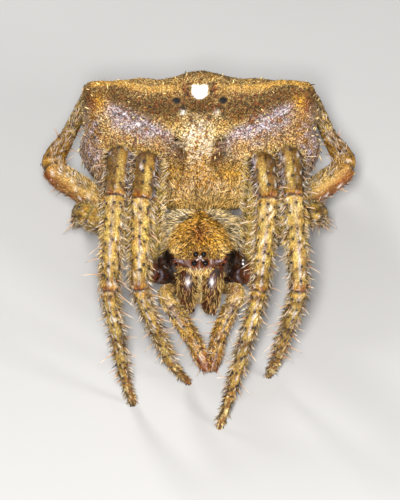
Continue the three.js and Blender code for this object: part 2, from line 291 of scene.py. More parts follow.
class Limb:
    """The middle line of a leg or palp, with its girth and its upper and inner sides."""

    STEP = 0.05  # millimetres between two places of the line

    def __init__(self, name, segments):
        self.name = name
        hub = sum(box_mm("prosoma")) / 2
        path = []
        joints = []
        for segment in segments:
            rings = rings_of(f"{name}_{segment}")
            start = path[-1][:3] if path else hub
            if np.linalg.norm(rings[0, :3] - start) > np.linalg.norm(rings[-1, :3] - start):
                rings = rings[::-1]
            if path:
                path[-1] = (path[-1] + rings[0]) / 2
                joints.append(len(path) - 1)
                rings = rings[1:]
            path.extend(rings)
        path = np.array(path)
        gone = np.r_[0, np.cumsum(np.linalg.norm(np.diff(path[:, :3], axis=0), axis=1))]
        self.joints = gone[joints]
        self.length = gone[-1]
        self.bounds = np.r_[0, self.joints, self.length]
        count = int(self.length / self.STEP)
        self.gone = np.linspace(0, self.length, count)
        even = np.stack([np.interp(self.gone, gone, column) for column in path.T], 1)
        even = smoothed(even, 6)
        self.centre = even[:, :3]
        self.girth = even[:, 3]
        self.along = unit(np.gradient(self.centre, axis=0))
        knee, end = (self.at(self.centre, self.joints[0]), self.centre[-1])
        if len(self.joints) > 2:
            end = self.at(self.centre, self.joints[2])
        across = np.cross(end - knee, knee - self.centre[0])
        inward = (-self.centre[0, 0], 0, 0) if abs(across[0]) > abs(across[1]) else (0, -1, 0)
        across = unit(across * (1 if across @ inward > 0 else -1))
        self.inner = unit(across - dots(self.along, across)[:, None] * self.along)
        self.upper = np.cross(self.inner, self.along)
        bulge = 2 * knee - self.centre[0] - end
        if self.at(self.upper, self.joints[0]) @ bulge < 0:
            self.upper = -self.upper
        self.spines = self.spine_rows()

    def at(self, values, gone):
        """Values of the line at distances gone from its root."""
        gone = np.asarray(gone, float)
        index = np.clip(gone / self.length * (len(self.gone) - 1), 0, len(self.gone) - 1.001)
        low = index.astype(int)
        share = index - low
        if values.ndim > 1:
            share = share[..., None]
        return values[low] * (1 - share) + values[low + 1] * share

    def spine_rows(self):
        """Distance from the root, turn and length share of each spine; 0 is a bare socket."""
        rng = np.random.default_rng(sum(map(ord, self.name)))
        rows = []
        for segment in range(min(len(self.bounds) - 1, TARSUS)):
            start, end = self.bounds[segment] + 0.25, self.bounds[segment + 1] - 0.35
            gap = 1.2
            if segment == FEMUR:
                start += 2.2
                gap = 1.8
            if self.name in PALPS:
                gap = 0.75
            for turn, size in ROWS:
                if segment == FEMUR and abs(turn) > 2:
                    continue
                apart = gap * (1.4 if size < 0.8 else 1)
                places = np.arange(start + rng.uniform(0, gap), end, apart)
                for place in places + rng.normal(0, 0.2, len(places)):
                    rows.append((place, turn + rng.normal(0, 0.14), size * rng.uniform(0.6, 1.2)))
            if segment == FEMUR:
                continue
            for turn in (-0.8, -0.05, 0.75):
                places = np.arange(start + rng.uniform(0, 0.5), end, 0.85 if segment < 3 else 1.15)
                for place in places + rng.normal(0, 0.16, len(places)):
                    rows.append((place, turn + rng.normal(0, 0.16), 0.0))
        return np.array(rows)

    def shape(self, gone, turn):
        """Radius of the cuticle: a collar before each joint, a groove in it, a shoulder after."""
        radius = self.at(self.girth, gone) * (0.93 if self.name in PALPS else 1.0)
        grow = np.ones(np.shape(gone))
        for joint in self.joints:
            past = gone - joint
            grow = grow + 0.06 * near(past, -0.3, 0.2) - 0.15 * near(past, 0, 0.07)
            grow = grow + 0.04 * near(past, 0.3, 0.2)
        knee = gone - self.joints[0]
        grow = grow + 0.1 * near(knee, 0.35, 0.3) * near(turn, 0, 1.1)
        wave = 0.05 * np.sin(7.0 * gone + 2.0 * np.sin(3 * turn))
        grow = grow + wave * np.sin(5 * turn + 2.3 * gone)
        grow = grow - 0.03 * np.cos(4 * turn) * ramp(0.3, 1.0, gone)
        beyond = ramp(0, 1, knee)
        grow = grow + 0.05 * beyond * near(turn, 0, 0.16)
        return radius * (grow - 0.03 * beyond * near(np.abs(turn), 0.35, 0.16))

    def surface(self, gone, turn, lift=0.0):
        """Points on the cuticle and their outward directions; turn 0 is the upper side."""
        out = self.at(self.upper, gone) * np.cos(turn)[..., None]
        out = out + self.at(self.inner, gone) * np.sin(turn)[..., None]
        radius = self.shape(gone, turn) + lift
        return self.at(self.centre, gone) + out * radius[..., None], out

    def locate(self, points):
        """Distance from the root and turn round the limb, for points near it."""
        block = 4000  # points at a time, to spare memory
        index = np.empty(len(points), int)
        for start in range(0, len(points), block):
            here = slice(start, start + block)
            index[here] = ((points[here, None] - self.centre) ** 2).sum(2).argmin(1)
        offset = points - self.centre[index]
        gone = self.gone[index] + dots(offset, self.along[index])
        turn = np.arctan2(dots(offset, self.inner[index]), dots(offset, self.upper[index]))
        return np.clip(gone, 0, self.length), turn

    def spine_gap(self, gone, turn):
        """Distance of places on the limb from the nearest spine or socket."""
        nearest = np.full(len(gone), FAR)
        girth = self.at(self.girth, gone)
        for place, angle, _ in self.spines:
            bend = (turn - angle + math.pi) % math.tau - math.pi
            nearest = np.minimum(nearest, np.hypot(gone - place, bend * girth))
        return nearest


LIMBS = {name: Limb(name, LEG_SEGMENTS) for name in LEGS}
LIMBS.update({name: Limb(name, ("femur", "tarsus")) for name in PALPS})


# ---- Looks: pigments and the growth of hairs ----------------------------


class Look:
    """What covers the skin at some points: pigments, gloss and how the hairs there grow."""

    def __init__(self, points, ground):
        count = len(points)
        self.points = points
        self.shares = {name: np.zeros(count) for name in PIGMENTS}
        self.shares[ground] += 1
        self.gloss = np.zeros(count)
        self.fur = np.ones(count)
        # dim: how much painted shade darkens the skin under the hairs.
        self.dim = np.ones(count)
        # grit: how strongly the skin shows grains and their painted shading.
        self.grit = np.full(count, 0.25)
        self.reach = np.full(count, 0.3)
        self.lift = np.full(count, 0.45)
        self.lay = np.zeros((count, 3))
        self.place = np.zeros((count, 2))

    def cover(self, pigment, mask):
        """Lays a pigment over those already there."""
        mask = np.clip(mask, 0, 1)
        for name in self.shares:
            self.shares[name] *= 1 - mask
        self.shares[pigment] += mask

    def pick(self, keep):
        """The same look at some of its points."""
        part = Look(self.points[keep], "tan")
        part.shares = {name: share[keep] for name, share in self.shares.items()}
        for name in ("gloss", "fur", "dim", "grit", "reach", "lift", "lay", "place"):
            setattr(part, name, getattr(self, name)[keep])
        return part


def leg_look(name, points):
    """Bands, stripes and hairs of a leg."""
    limb = LIMBS[name]
    pair = int(name[3])
    front = pair < 3
    gone, turn = limb.locate(points)
    segment = np.searchsorted(limb.joints, gone)
    after = gone - limb.bounds[segment]
    before = limb.bounds[segment + 1] - gone
    share = after / (after + before + 1e-9)
    patch = ripple(points, 0.7, 3)
    blot = ripple(points, 0.36, 30)
    fleck = ripple(points, 0.2, 4)
    grain = ripple(points, 0.08, 41)
    side = np.abs(turn)
    across = turn * limb.at(limb.girth, gone)
    femur, patella, tibia, metatarsus, tarsus = ((segment == index) * 1.0 for index in range(5))
    shin = tibia + metatarsus
    look = Look(points, "tan")
    cover = look.cover
    cover("straw", tibia * (0.7 + 0.3 * patch) * (1 if pair != 3 else 0.3))
    cover("cream", tibia * near(after, 0.5, 0.8) * near(turn, -0.1, 0.7) * 0.5)
    cover("straw", metatarsus * (0.65 + 0.3 * patch))
    cover("gold", (tibia + patella) * (0.12 + 0.25 * blot))
    cover("olive", patella * (0.85 + 0.3 * patch) * (1 if front else 0.6))
    cover("umber", patella * (0.3 + ramp(-0.6, 0.7, blot) * 0.55))
    cover("olive", shin * ramp(0.0, 0.8, blot) * 0.5)
    # Olive towards the sides of tibia and metatarsus is painted shade on the flanks of the leg.
    cover("olive", shin * ramp(0.5, 1.3, side) * (0.45 + 0.3 * patch))
    cover("umber", (shin + patella) * ramp(0.45, 1.0, fleck) * 0.45)
    cover("umber", metatarsus * (0.14 + 0.34 * share))
    # Umber on the underside of every leg segment is painted shade.
    cover("umber", ramp(1.9, 2.7, side) * 0.4)
    if front:
        cover("tan", patella * near(turn, 0.45, 0.4) * 0.3)
        cover("straw", patella * near(turn, 0.4, 0.3) * near(share, 0.6, 0.35) * 0.25)
        cover("straw", patella * near(turn, 0.35, 0.25) * near(share, 0.55, 0.3) * 0.5)
        cover("ink", patella * near(turn, -0.4, 0.16) * near(share, 0.45, 0.4) * 0.8)
        cover("ink", patella * near(turn, -1.0, 0.2) * ramp(-0.6, 0.4, blot) * 0.7)
        cover("ink", patella * near(turn, 0.85, 0.1) * ramp(-0.4, 0.6, blot) * 0.6)
        # A thin lilac line along the top of the patella is a painted highlight.
        cover("lilac", patella * near(across, -0.1, 0.06) * near(share, 0.45, 0.3) * 0.75)
        cover("umber", patella * near(turn, 1.45, 0.3) * 0.8)
        cover("umber", patella * near(after, 0.2, 0.4) * 0.85)
        cover("ink", patella * near(after, 0.1, 0.25) * 0.7)
        cover("gold", patella * near(after, 0.7, 0.3) * near(turn, 0.75, 0.3) * 0.4)
        # Lilac along the inner edge of patella and tibia, and along the top of the tibia, is a
        # painted highlight.
        painted_highlight = near(across, 0.92, 0.07) * ramp(-0.6, 0.4, fleck)
        cover("lilac", (patella + tibia * 0.4) * painted_highlight)
        cover("lilac", tibia * near(across, 0.0, 0.16) * (0.3 - 0.2 * share))
        cover("umber", tibia * near(across, 0.2, 0.1) * ramp(0.6, 0.2, share) * 0.35)
        cover("straw", femur * (0.55 + 0.3 * blot))
        cover("umber", femur * ramp(0.1, 0.6, np.sin(turn * 21 + patch)) * 0.45)
    facing = limb.surface(gone, turn)[1][:, 2]
    if pair == 4:
        cover("straw", femur * 0.4)
        # Orange-brown is the underside colour of the hind femur; the umber where it faces down is
        # painted shade.
        cover("rust", femur * ramp(1.0, 0.1, facing) * (0.7 + 0.25 * blot))
        cover("umber", femur * ramp(0.7, -0.2, facing) * (0.35 + 0.35 * fleck))
        cover("ink", femur * near(after, 1.9, 0.9) * near(facing, 0.9, 0.12) * 0.75)
        cover("rust", femur * ramp(1.5, 0.6, before) * 0.35)
        cover("umber", (patella + tibia) * ramp(0.35, 0.9, blot) * 0.6)
        cover("ink", femur * near(after, 1.4, 0.7) * near(turn, 0.9, 0.5) * 0.8)
        cover("gold", patella * 0.35)
        cover("lilac", (patella + tibia) * ramp(0.4, 0.9, patch) * 0.15)
    if pair == 3:
        cover("straw", (femur + patella) * 0.3)
        cover("olive", 0.6 + ramp(-0.2, 0.5, patch) * 0.4)
        cover("straw", ramp(0.2, 0.8, -blot) * 0.5)
        cover("ink", ramp(0.2, 0.8, blot) * 0.7)
        # Umber where femur and patella face down is painted shade.
        cover("umber", (femur + patella) * ramp(0.3, -0.6, facing) * 0.6)
    cover("olive", tibia * near(before, 1.0, 0.7) * 0.6)
    cover("umber", tibia * near(before, 0.9, 0.8) * ramp(-0.3, 0.7, blot) * 0.65)
    # The keel is bare and glossy; the lilac and snow along it on tibia and metatarsus are a painted
    # highlight.
    keel_highlight = near(across, 0.0, 0.055) * ramp(-1.0, 0.2, fleck)
    for pigment, low, high, far, close, amount in (
        ("lilac", 0.25, 0.5, 0.8, 0.3, 0.8),
        ("snow", 0.45, 0.7, 0.5, 0.2, 0.5),
    ):
        lit = tibia * ramp(low, high, share) + metatarsus * ramp(far, close, share)
        cover(pigment, keel_highlight * lit * amount)
    bands = ((PATELLA, 0.2, 0.75), (TIBIA, 0.35, 0.95), (METATARSUS, 0.4, 0.45))
    for index, width, amount in bands:
        here = (segment == index) * near(before, 0.05 * blot, width)
        cover("rust", here * amount)
        cover("umber", here * (0.35 + ramp(-0.6, 0.5, fleck) * 0.6))
    cover("umber", metatarsus * near(share, 0.52, 0.1) * (0.6 + 0.4 * fleck))
    cover("umber", metatarsus * near(after, 0.0, 0.9) * (0.45 + 0.5 * blot))
    cover("rust", metatarsus * ramp(0.6, 1.0, share) * 0.15)
    cover("umber", tarsus * (0.75 + 0.25 * fleck))
    cover("ink", tarsus * ramp(0.0, 0.6, blot) * 0.6)
    cover("rust", tarsus * ramp(0.1, 0.7, -blot) * 0.4)
    cover("cream", tarsus * ramp(0.15, 0.5, fleck) * 0.85)
    cover("snow", ramp(0.75, 1.15, grain) * 0.55 * (1 - tarsus))
    gap = np.abs(gone[:, None] - limb.joints[None]).min(1)
    cover("gold", near(gap, 0.2, 0.07) * 0.5)
    cover("ink", near(gap, 0.0, 0.07) * 0.85)
    knob = near(before, 0.2, 0.13) * near(turn, -0.3, 0.2) * (patella + tibia)
    cover("rust", knob)
    cover("ink", near(before, 0.2, 0.06) * near(turn, -0.3, 0.1) * (patella + tibia) * 0.8)
    spines = limb.spine_gap(gone, turn)
    cover("gold", near(spines, 0, 0.3) * 0.25)
    cover("umber", near(spines, 0, 0.18) * 0.5)
    cover("ink", near(spines, 0, 0.13))
    trochanter = ramp(1.5, 0.9, gone)
    cover("umber", ramp(2.4, 1.4, gone))
    cover("rust", trochanter * 0.5)
    look.gloss = np.clip(0.2 + keel_highlight * 0.4 + knob + near(gap, 0.1, 0.1) * 0.5 + trochanter, 0, 1)
    if front:
        look.gloss = np.maximum(look.gloss, patella * near(across, 0.88, 0.14))
    bare = 0.8 * keel_highlight * shin
    look.fur = np.clip(1 - 0.9 * near(gap, 0, 0.1) - bare - 0.8 * near(spines, 0, 0.1), 0, 1)
    look.fur *= 1 - 0.35 * patella * ramp(1.2, 0.7, side)
    look.fur *= (0.4 + 0.6 * ramp(0.6, 1.2, side)) * ramp(1.0, 2.2, gone)
    look.dim = look.fur * 0.35
    look.grit[:] = 0.35
    fringe = near(side, 1.5, 0.55)
    look.reach = (0.2 + 0.4 * fringe + 0.1 * femur) * np.where(segment == TARSUS, 0.8, 1.0)
    look.reach *= ramp(-0.25, 0.5, limb.length - gone) * (1.0 if front else 0.75)
    look.lift = 0.4 + 0.55 * fringe
    pale = fringe * ramp(0.0, 0.7, grain) * (1 - tarsus)
    cover("snow", pale * 0.5)
    look.lay = limb.at(limb.along, gone)
    look.place = np.stack([turn / math.tau + 0.5, gone / limb.length], 1)
    return look


def palp_look(name, points):
    """A palp: mottled tan and gold with grey on its knee and an orange end."""
    limb = LIMBS[name]
    gone, turn = limb.locate(points)
    share = gone / limb.length
    patch = ripple(points, 0.5, 5)
    fleck = ripple(points, 0.2, 43)
    grain = ripple(points, 0.08, 42)
    side = np.abs(turn)
    look = Look(points, "tan")
    cover = look.cover
    cover("straw", 0.5 + 0.35 * patch)
    cover("gold", 0.15 + 0.25 * patch)
    cover("umber", ramp(-0.1, 0.6, fleck) * 0.7)
    cover("rust", ramp(0.2, 0.8, -patch) * 0.3)
    knee = near(gone, limb.joints[0] + 0.1, 0.75)
    cover("lilac", knee * near(turn, 0, 0.5) * 0.3)
    # Umber on the underside of the palp is painted shade.
    cover("umber", ramp(1.5, 2.6, side) * 0.4)
    cover("rust", near(share, 0.66, 0.03) * 0.6)
    cover("umber", near(share, 0.69, 0.02) * 0.7)
    cover("umber", near(gone, limb.joints[0] + 0.3, 0.2) * 0.6)
    cover("gold", near(share, 0.62, 0.25) * 0.35)
    cover("gold", ramp(0.66, 0.85, share) * 0.7)
    cover("rust", ramp(0.74, 0.95, share + 0.05 * fleck) * (0.75 + 0.2 * fleck))
    # Lilac and snow lines along the top of the palp are painted highlights.
    keel_highlight = near(turn, 0.1, 0.11) * (near(share, 0.5, 0.1) + near(share, 0.86, 0.1))
    cover("lilac", keel_highlight * 0.7)
    cover("snow", keel_highlight * 0.4)
    cover("snow", ramp(0.4, 1.0, grain) * 0.5)
    cover("ink", near(gone, limb.joints[0], 0.08) * 0.7)
    spines = limb.spine_gap(gone, turn)
    cover("ink", near(spines, 0, 0.12) * 0.9)
    cover("umber", ramp(1.0, 0.3, gone) * 0.8)
    look.gloss = 0.2 + 0.3 * knee
    look.fur = ramp(0.2, 1.0, gone) * (1 - 0.8 * near(gone, limb.joints[0], 0.1))
    look.dim = look.fur * 0.4
    look.grit[:] = 0.35
    look.reach = 0.17 + 0.24 * near(side, 1.5, 0.5)
    look.lift = 0.3 + 0.5 * near(side, 1.5, 0.6)
    look.lay = limb.at(limb.along, gone)
    look.place = np.stack([turn / math.tau + 0.5, share], 1)
    return look


ABDOMEN_LOW, ABDOMEN_HIGH = box_mm("abdomen")
ABDOMEN_SIZE = ABDOMEN_HIGH - ABDOMEN_LOW
ABDOMEN_CORE = ABDOMEN_LOW + ABDOMEN_SIZE * (0.5, 0.43, 0.4)
# Places on the abdomen are [mm from its middle line, degrees round its cross axis], where 0
# degrees faces the head and 90 is straight up.
DEGREE = 0.13  # millimetres of skin in one degree
PITS = (
    (-1.68, 58.6, 0.2), (1.68, 58.9, 0.2), (-1.63, 37.4, 0.13), (1.6, 37.4, 0.13),
    (-1.7, 93, 0.2), (1.7, 93, 0.2), (-1.5, 112, 0.18), (1.5, 112, 0.18),
    (-1.2, 131, 0.15), (1.2, 131, 0.15), (-0.9, 150, 0.12), (0.9, 150, 0.12),
)
GROOVE = ((1.5, 36), (1.35, 28), (1.0, 17))  # beside the pale middle stripe
FOLD = ((0.1, 45), (0.75, 50.5), (1.5, 56))  # above its upper end


def abdomen_place(points):
    """Millimetres from the middle line, and degrees of 0 to 360 and of -180 to 180."""
    offset = points - ABDOMEN_CORE
    angle = np.degrees(np.arctan2(offset[:, 2], -offset[:, 1])) % 360
    return offset[:, 0], angle, (angle + 180) % 360 - 180


def crease(wide, high, line):
    """Distance in millimetres to a line given by millimetres and degrees."""
    return line_distance(wide, high * DEGREE, [(x, angle * DEGREE) for x, angle in line])


def crest(x):
    """Degrees of the ridge between the shoulders."""
    return 65.4 + 5.2 * ramp(3.5, 6.5, np.abs(x)) - 1.5 * ramp(6.2, 8.0, np.abs(x))


def folium_edge(angle):
    """Half width of the leaf-shaped field on the back, in millimetres."""
    scallop = 0.45 * np.abs(np.sin((angle - 75) * 0.105))
    return 7.4 - 5.6 * ramp(78, 205, angle) + scallop


def abdomen_look(points):
    """Ridge, white spot, pale middle stripe and lilac bands in front, a leaf field behind."""
    x, angle, high = abdomen_place(points)
    wide = np.abs(x)
    front = ramp(78, 66, angle) + ramp(250, 330, angle)
    below = ramp(205, 235, angle) * ramp(345, 325, angle)
    patch = ripple(points, 0.9, 6)
    fleck = ripple(points, 0.28, 7)
    grain = ripple(points, 0.13, 8)
    spark = ripple(points, 0.07, 44)
    shade = crest(x) - high
    look = Look(points, "tan")
    cover = look.cover
    cover("gold", 0.3 + 0.2 * patch)
    cover("cream", 0.2 + 0.25 * fleck)
    cover("umber", ramp(0.1, 0.8, grain) * 0.7)
    cover("cream", ramp(0.2, 0.8, -grain) * 0.45)
    cover("cream", ramp(0.6, 1.1, spark) * 0.5)
    # The front face, from the ridge down.
    under = front * near(shade, 10, 6.5) * ramp(8.4, 7.8, wide)
    cover("umber", under * (0.95 + 0.2 * grain))
    cover("olive", under * 0.3)
    cover("ink", under * 0.22)
    cover("tan", under * ramp(0.4, 0.9, spark) * 0.3)
    rise = (high - np.interp(wide, [1.3, 2.3, 3.6, 5.3, 6.9], [35, 41, 47, 52, 57])) * DEGREE
    sheen = front * near(rise, -0.15, np.where(rise > -0.15, 0.4, 1.35)) * ramp(0.9, 1.6, wide)
    sheen *= 0.35 + 0.65 * ramp(7.3, 5.8, wide)
    cover("umber", sheen * 0.6)
    cover("rust", sheen * ramp(0.2, 0.9, fleck) * 0.3)
    cover("lilac", sheen * (0.6 + 0.4 * fleck))
    cover("snow", sheen * ramp(0.4, 0.9, spark) * (0.6 + 0.3 * fleck))
    cover("gold", front * near(wide, 7.4, 0.8) * near(high, 46, 9) * 0.7)
    cover("umber", front * near(x, 6.6, 1.2) * near(high, 46, 8) * 0.4)
    cover("cream", front * near(x, -7.3, 0.8) * near(high, 46, 9) * (0.35 + 0.3 * fleck))
    cover("gold", front * near(wide, 7.2, 0.5) * near(high, 58, 4) * 0.9)
    cover("rust", front * near(wide, 7.7, 0.25) * near(high, 57, 4) * 0.6)
    cover("gold", front * near(wide, 2.9, 0.7) * near(high, 34, 5) * (0.6 + 0.4 * fleck))
    cover("gold", front * near(wide, 2.3, 0.7) * near(high, 18, 4) * (0.6 + 0.4 * fleck))
    # Umber along the groove beside the stripe is painted shade in the crease that the skin carves
    # there.
    groove = crease(wide, high, GROOVE)
    cover("umber", front * near(groove, 0.15, 0.45) * (0.7 + 0.3 * fleck))
    cover("olive", front * near(wide, 1.9, 0.8) * near(high, 27, 7) * 0.5)
    cover("gold", front * ramp(28, 12, high) * (0.5 + 0.2 * fleck))
    cover("cream", front * ramp(20, 4, high) * (0.25 + 0.3 * grain))
    half = np.interp(high, [2, 8, 15, 21, 31, 45, 51], [3.4, 2.4, 1.0, 0.6, 0.95, 0.95, 0.5])
    cover("cream", front * near(wide, 1.3, 0.6) * near(high, 41, 6) * (0.4 + 0.5 * grain))
    edge = np.abs(x + 0.08) - half + 0.14 * fleck + 0.1 * grain
    stripe = front * ramp(0.4, -0.3, edge) * ramp(-2, 8, high) * ramp(54, 45, high)
    cover("cream", stripe * 0.95)
    cover("gold", stripe * (ramp(40, 24, high) * 0.65 + 0.15 + 0.2 * grain))
    cover("snow", stripe * (0.3 + 0.25 * ramp(18, 36, high)) * ramp(0.3, -0.3, grain))
    cover("rust", stripe * ramp(0.4, 0.9, grain) * 0.6)
    cover("gold", stripe * near(high, 17, 8) * 0.4)
    # Umber along the fold is painted shade in its crease.
    fold = crease(wide, high, FOLD)
    cover("umber", front * near(fold, 0, 0.15) * 0.6)
    cover("cream", front * near(wide, 1.15, 0.3) * near(high, 51, 2.4) * 0.7)
    fleck_white = near(wide, 1.2, 0.16) * near(high, 52.8, 1.3)
    cover("snow", front * fleck_white * (0.9 - 0.3 * (x > 0)))
    cover("ink", front * near(shade, 4.6, 1.0) * ramp(2.0, 3.0, wide) * 0.35)
    ridge = ramp(2.9, 1.3, np.abs(shade - 0.5)) * ramp(1.0, 2.2, wide) * ramp(8.2, 7.6, wide)
    cover("tan", ridge * 0.85)
    cover("gold", ridge * (0.4 + 0.35 * ramp(3.5, 6.5, wide) + 0.15 * fleck))
    cover("cream", ridge * (0.1 + 0.3 * ramp(0.2, 0.9, spark)))
    shoulder = near(wide, 8.2, 0.35) * near(high, 63, 9)
    cover("umber", shoulder * 0.75)
    # The back: a leaf-shaped field with a pale scalloped edge, and pale sides.
    behind = ramp(70, 84, angle) * ramp(225, 205, angle)
    edge = wide - folium_edge(angle)
    cover("olive", behind * ramp(0.3, -0.3, edge) * 0.45)
    cover("umber", behind * near(edge, -0.45, 0.4) * (0.55 + 0.2 * fleck))
    cover("cream", behind * near(edge, 0.15, 0.22) * 0.8)
    cover("lilac", behind * ramp(0.5, 2.0, edge) * (0.3 + 0.3 * fleck))
    chevron = np.sin((angle + 9 * wide) * 0.26)
    cover("umber", behind * ramp(0.2, -1.2, edge) * ramp(0.3, 0.9, chevron) * 0.35)
    cover("umber", near(angle, 77, 7) * near(wide, 0, 2.6) * (0.45 + 0.3 * fleck))
    # Lower sides and belly.
    cover("umber", below * (0.5 + 0.15 * patch))
    cover("cream", below * near(wide, 2.2, 0.5) * near(angle, 275, 25) * 0.7)
    flank = ramp(5.5, 8.2, wide) * ramp(60, 40, high)
    cover("tan", flank * 0.5)
    cover("lilac", flank * ramp(0.1, 0.8, patch) * 0.4)
    cover("umber", flank * ramp(-0.2, -0.9, patch) * 0.5)
    grey = ramp(6.7, 7.7, wide) * ramp(54, 46, high) * ramp(-30, 10, high)
    cover("umber", grey * 0.4)
    cover("lilac", grey * (0.25 + 0.35 * fleck))
    # The white spot, a blunt shield that points down, with dark bars and orange beside it.
    spot_x = x / 0.68
    spot_y = (high - 63.3) * DEGREE / 0.58
    taper = 1 - 0.75 * np.clip(-spot_y, 0, 1) ** 1.6 - 0.8 * np.clip(spot_y - 0.35, 0, 1) ** 2
    rim = np.maximum(np.abs(spot_x) / taper, spot_y * 1.05 + 0.16 * near(spot_x, 0, 0.3))
    rim = np.maximum(rim, -spot_y) + 0.05 * fleck
    cover("rust", near(wide, 1.05, 0.17) * near(high, 64.5, 2.6) * 0.9)
    cover("ink", near(wide, 0.85, 0.11) * near(high, 63.2, 3.2))
    cover("ink", near(wide, 0.85, 0.25) * near(high, 67.3, 0.8) * 0.9)
    cover("snow", ramp(0.95, 0.85, rim))
    pit = np.zeros(len(points))
    for place, height, radius in PITS:
        gap = np.hypot((x - place) * 0.75, (high - height) * DEGREE)
        cover("tan", near(gap, radius * 1.5, radius * 0.3) * 0.3)
        cover("ink", ramp(radius * 1.3, radius * 0.95, gap))
        pit = np.maximum(pit, ramp(radius * 1.7, radius * 1.1, gap))
    for place, height in ((-1.22, 55.5), (-0.62, 49.1), (0.64, 49.6), (0.0, 53.6), (0.0, 28.6)):
        cover("ink", near(np.hypot(x - place, (high - height) * DEGREE), 0, 0.12))
    look.gloss = np.clip(0.15 + sheen * 0.4, 0, 1)
    spot = ramp(1.0, 0.9, rim)
    look.fur = (1 - pit) * (0.75 + 0.25 * front)
    look.dim[:] = 0.35
    look.grit = (1 - spot) * (1 - pit) * (0.7 + 0.3 * front) * (0.85 - 0.4 * ridge)
    low = ramp(30, 6, high) * (1 - below)
    look.reach = 0.14 + 0.03 * fleck + 0.28 * low - 0.04 * stripe * (1 - low)
    look.reach = look.reach * (1 - 0.4 * spot)
    look.lift = (0.5 + 0.15 * ridge + 0.1 * low) * (1 - 0.6 * spot)
    outward = vectors(0.55 * x / 4, 0, 0)
    climb = vectors(0, np.sin(np.radians(angle)), np.cos(np.radians(angle)))
    down = (ramp(46, 34, high) * front)[:, None]
    inward = vectors(-0.4 * np.tanh(x), 0, 0)
    look.lay = unit((outward + climb * 0.8) * (1 - down) + (inward - climb * 0.7) * down)
    look.place = np.stack([angle / 360, np.clip(x / ABDOMEN_SIZE[0] + 0.5, 0, 1)], 1)
    return look


HEAD_LOW, HEAD_HIGH = box_mm("prosoma")
EYE_PLACES = {name: sum(box_mm(name)) / 2 for name in EYES}
EYE_SIZES = {name: (box_mm(name)[1] - box_mm(name)[0])[0] / 2 for name in EYES}
FACE = sum(EYE_PLACES.values()) / len(EYES)


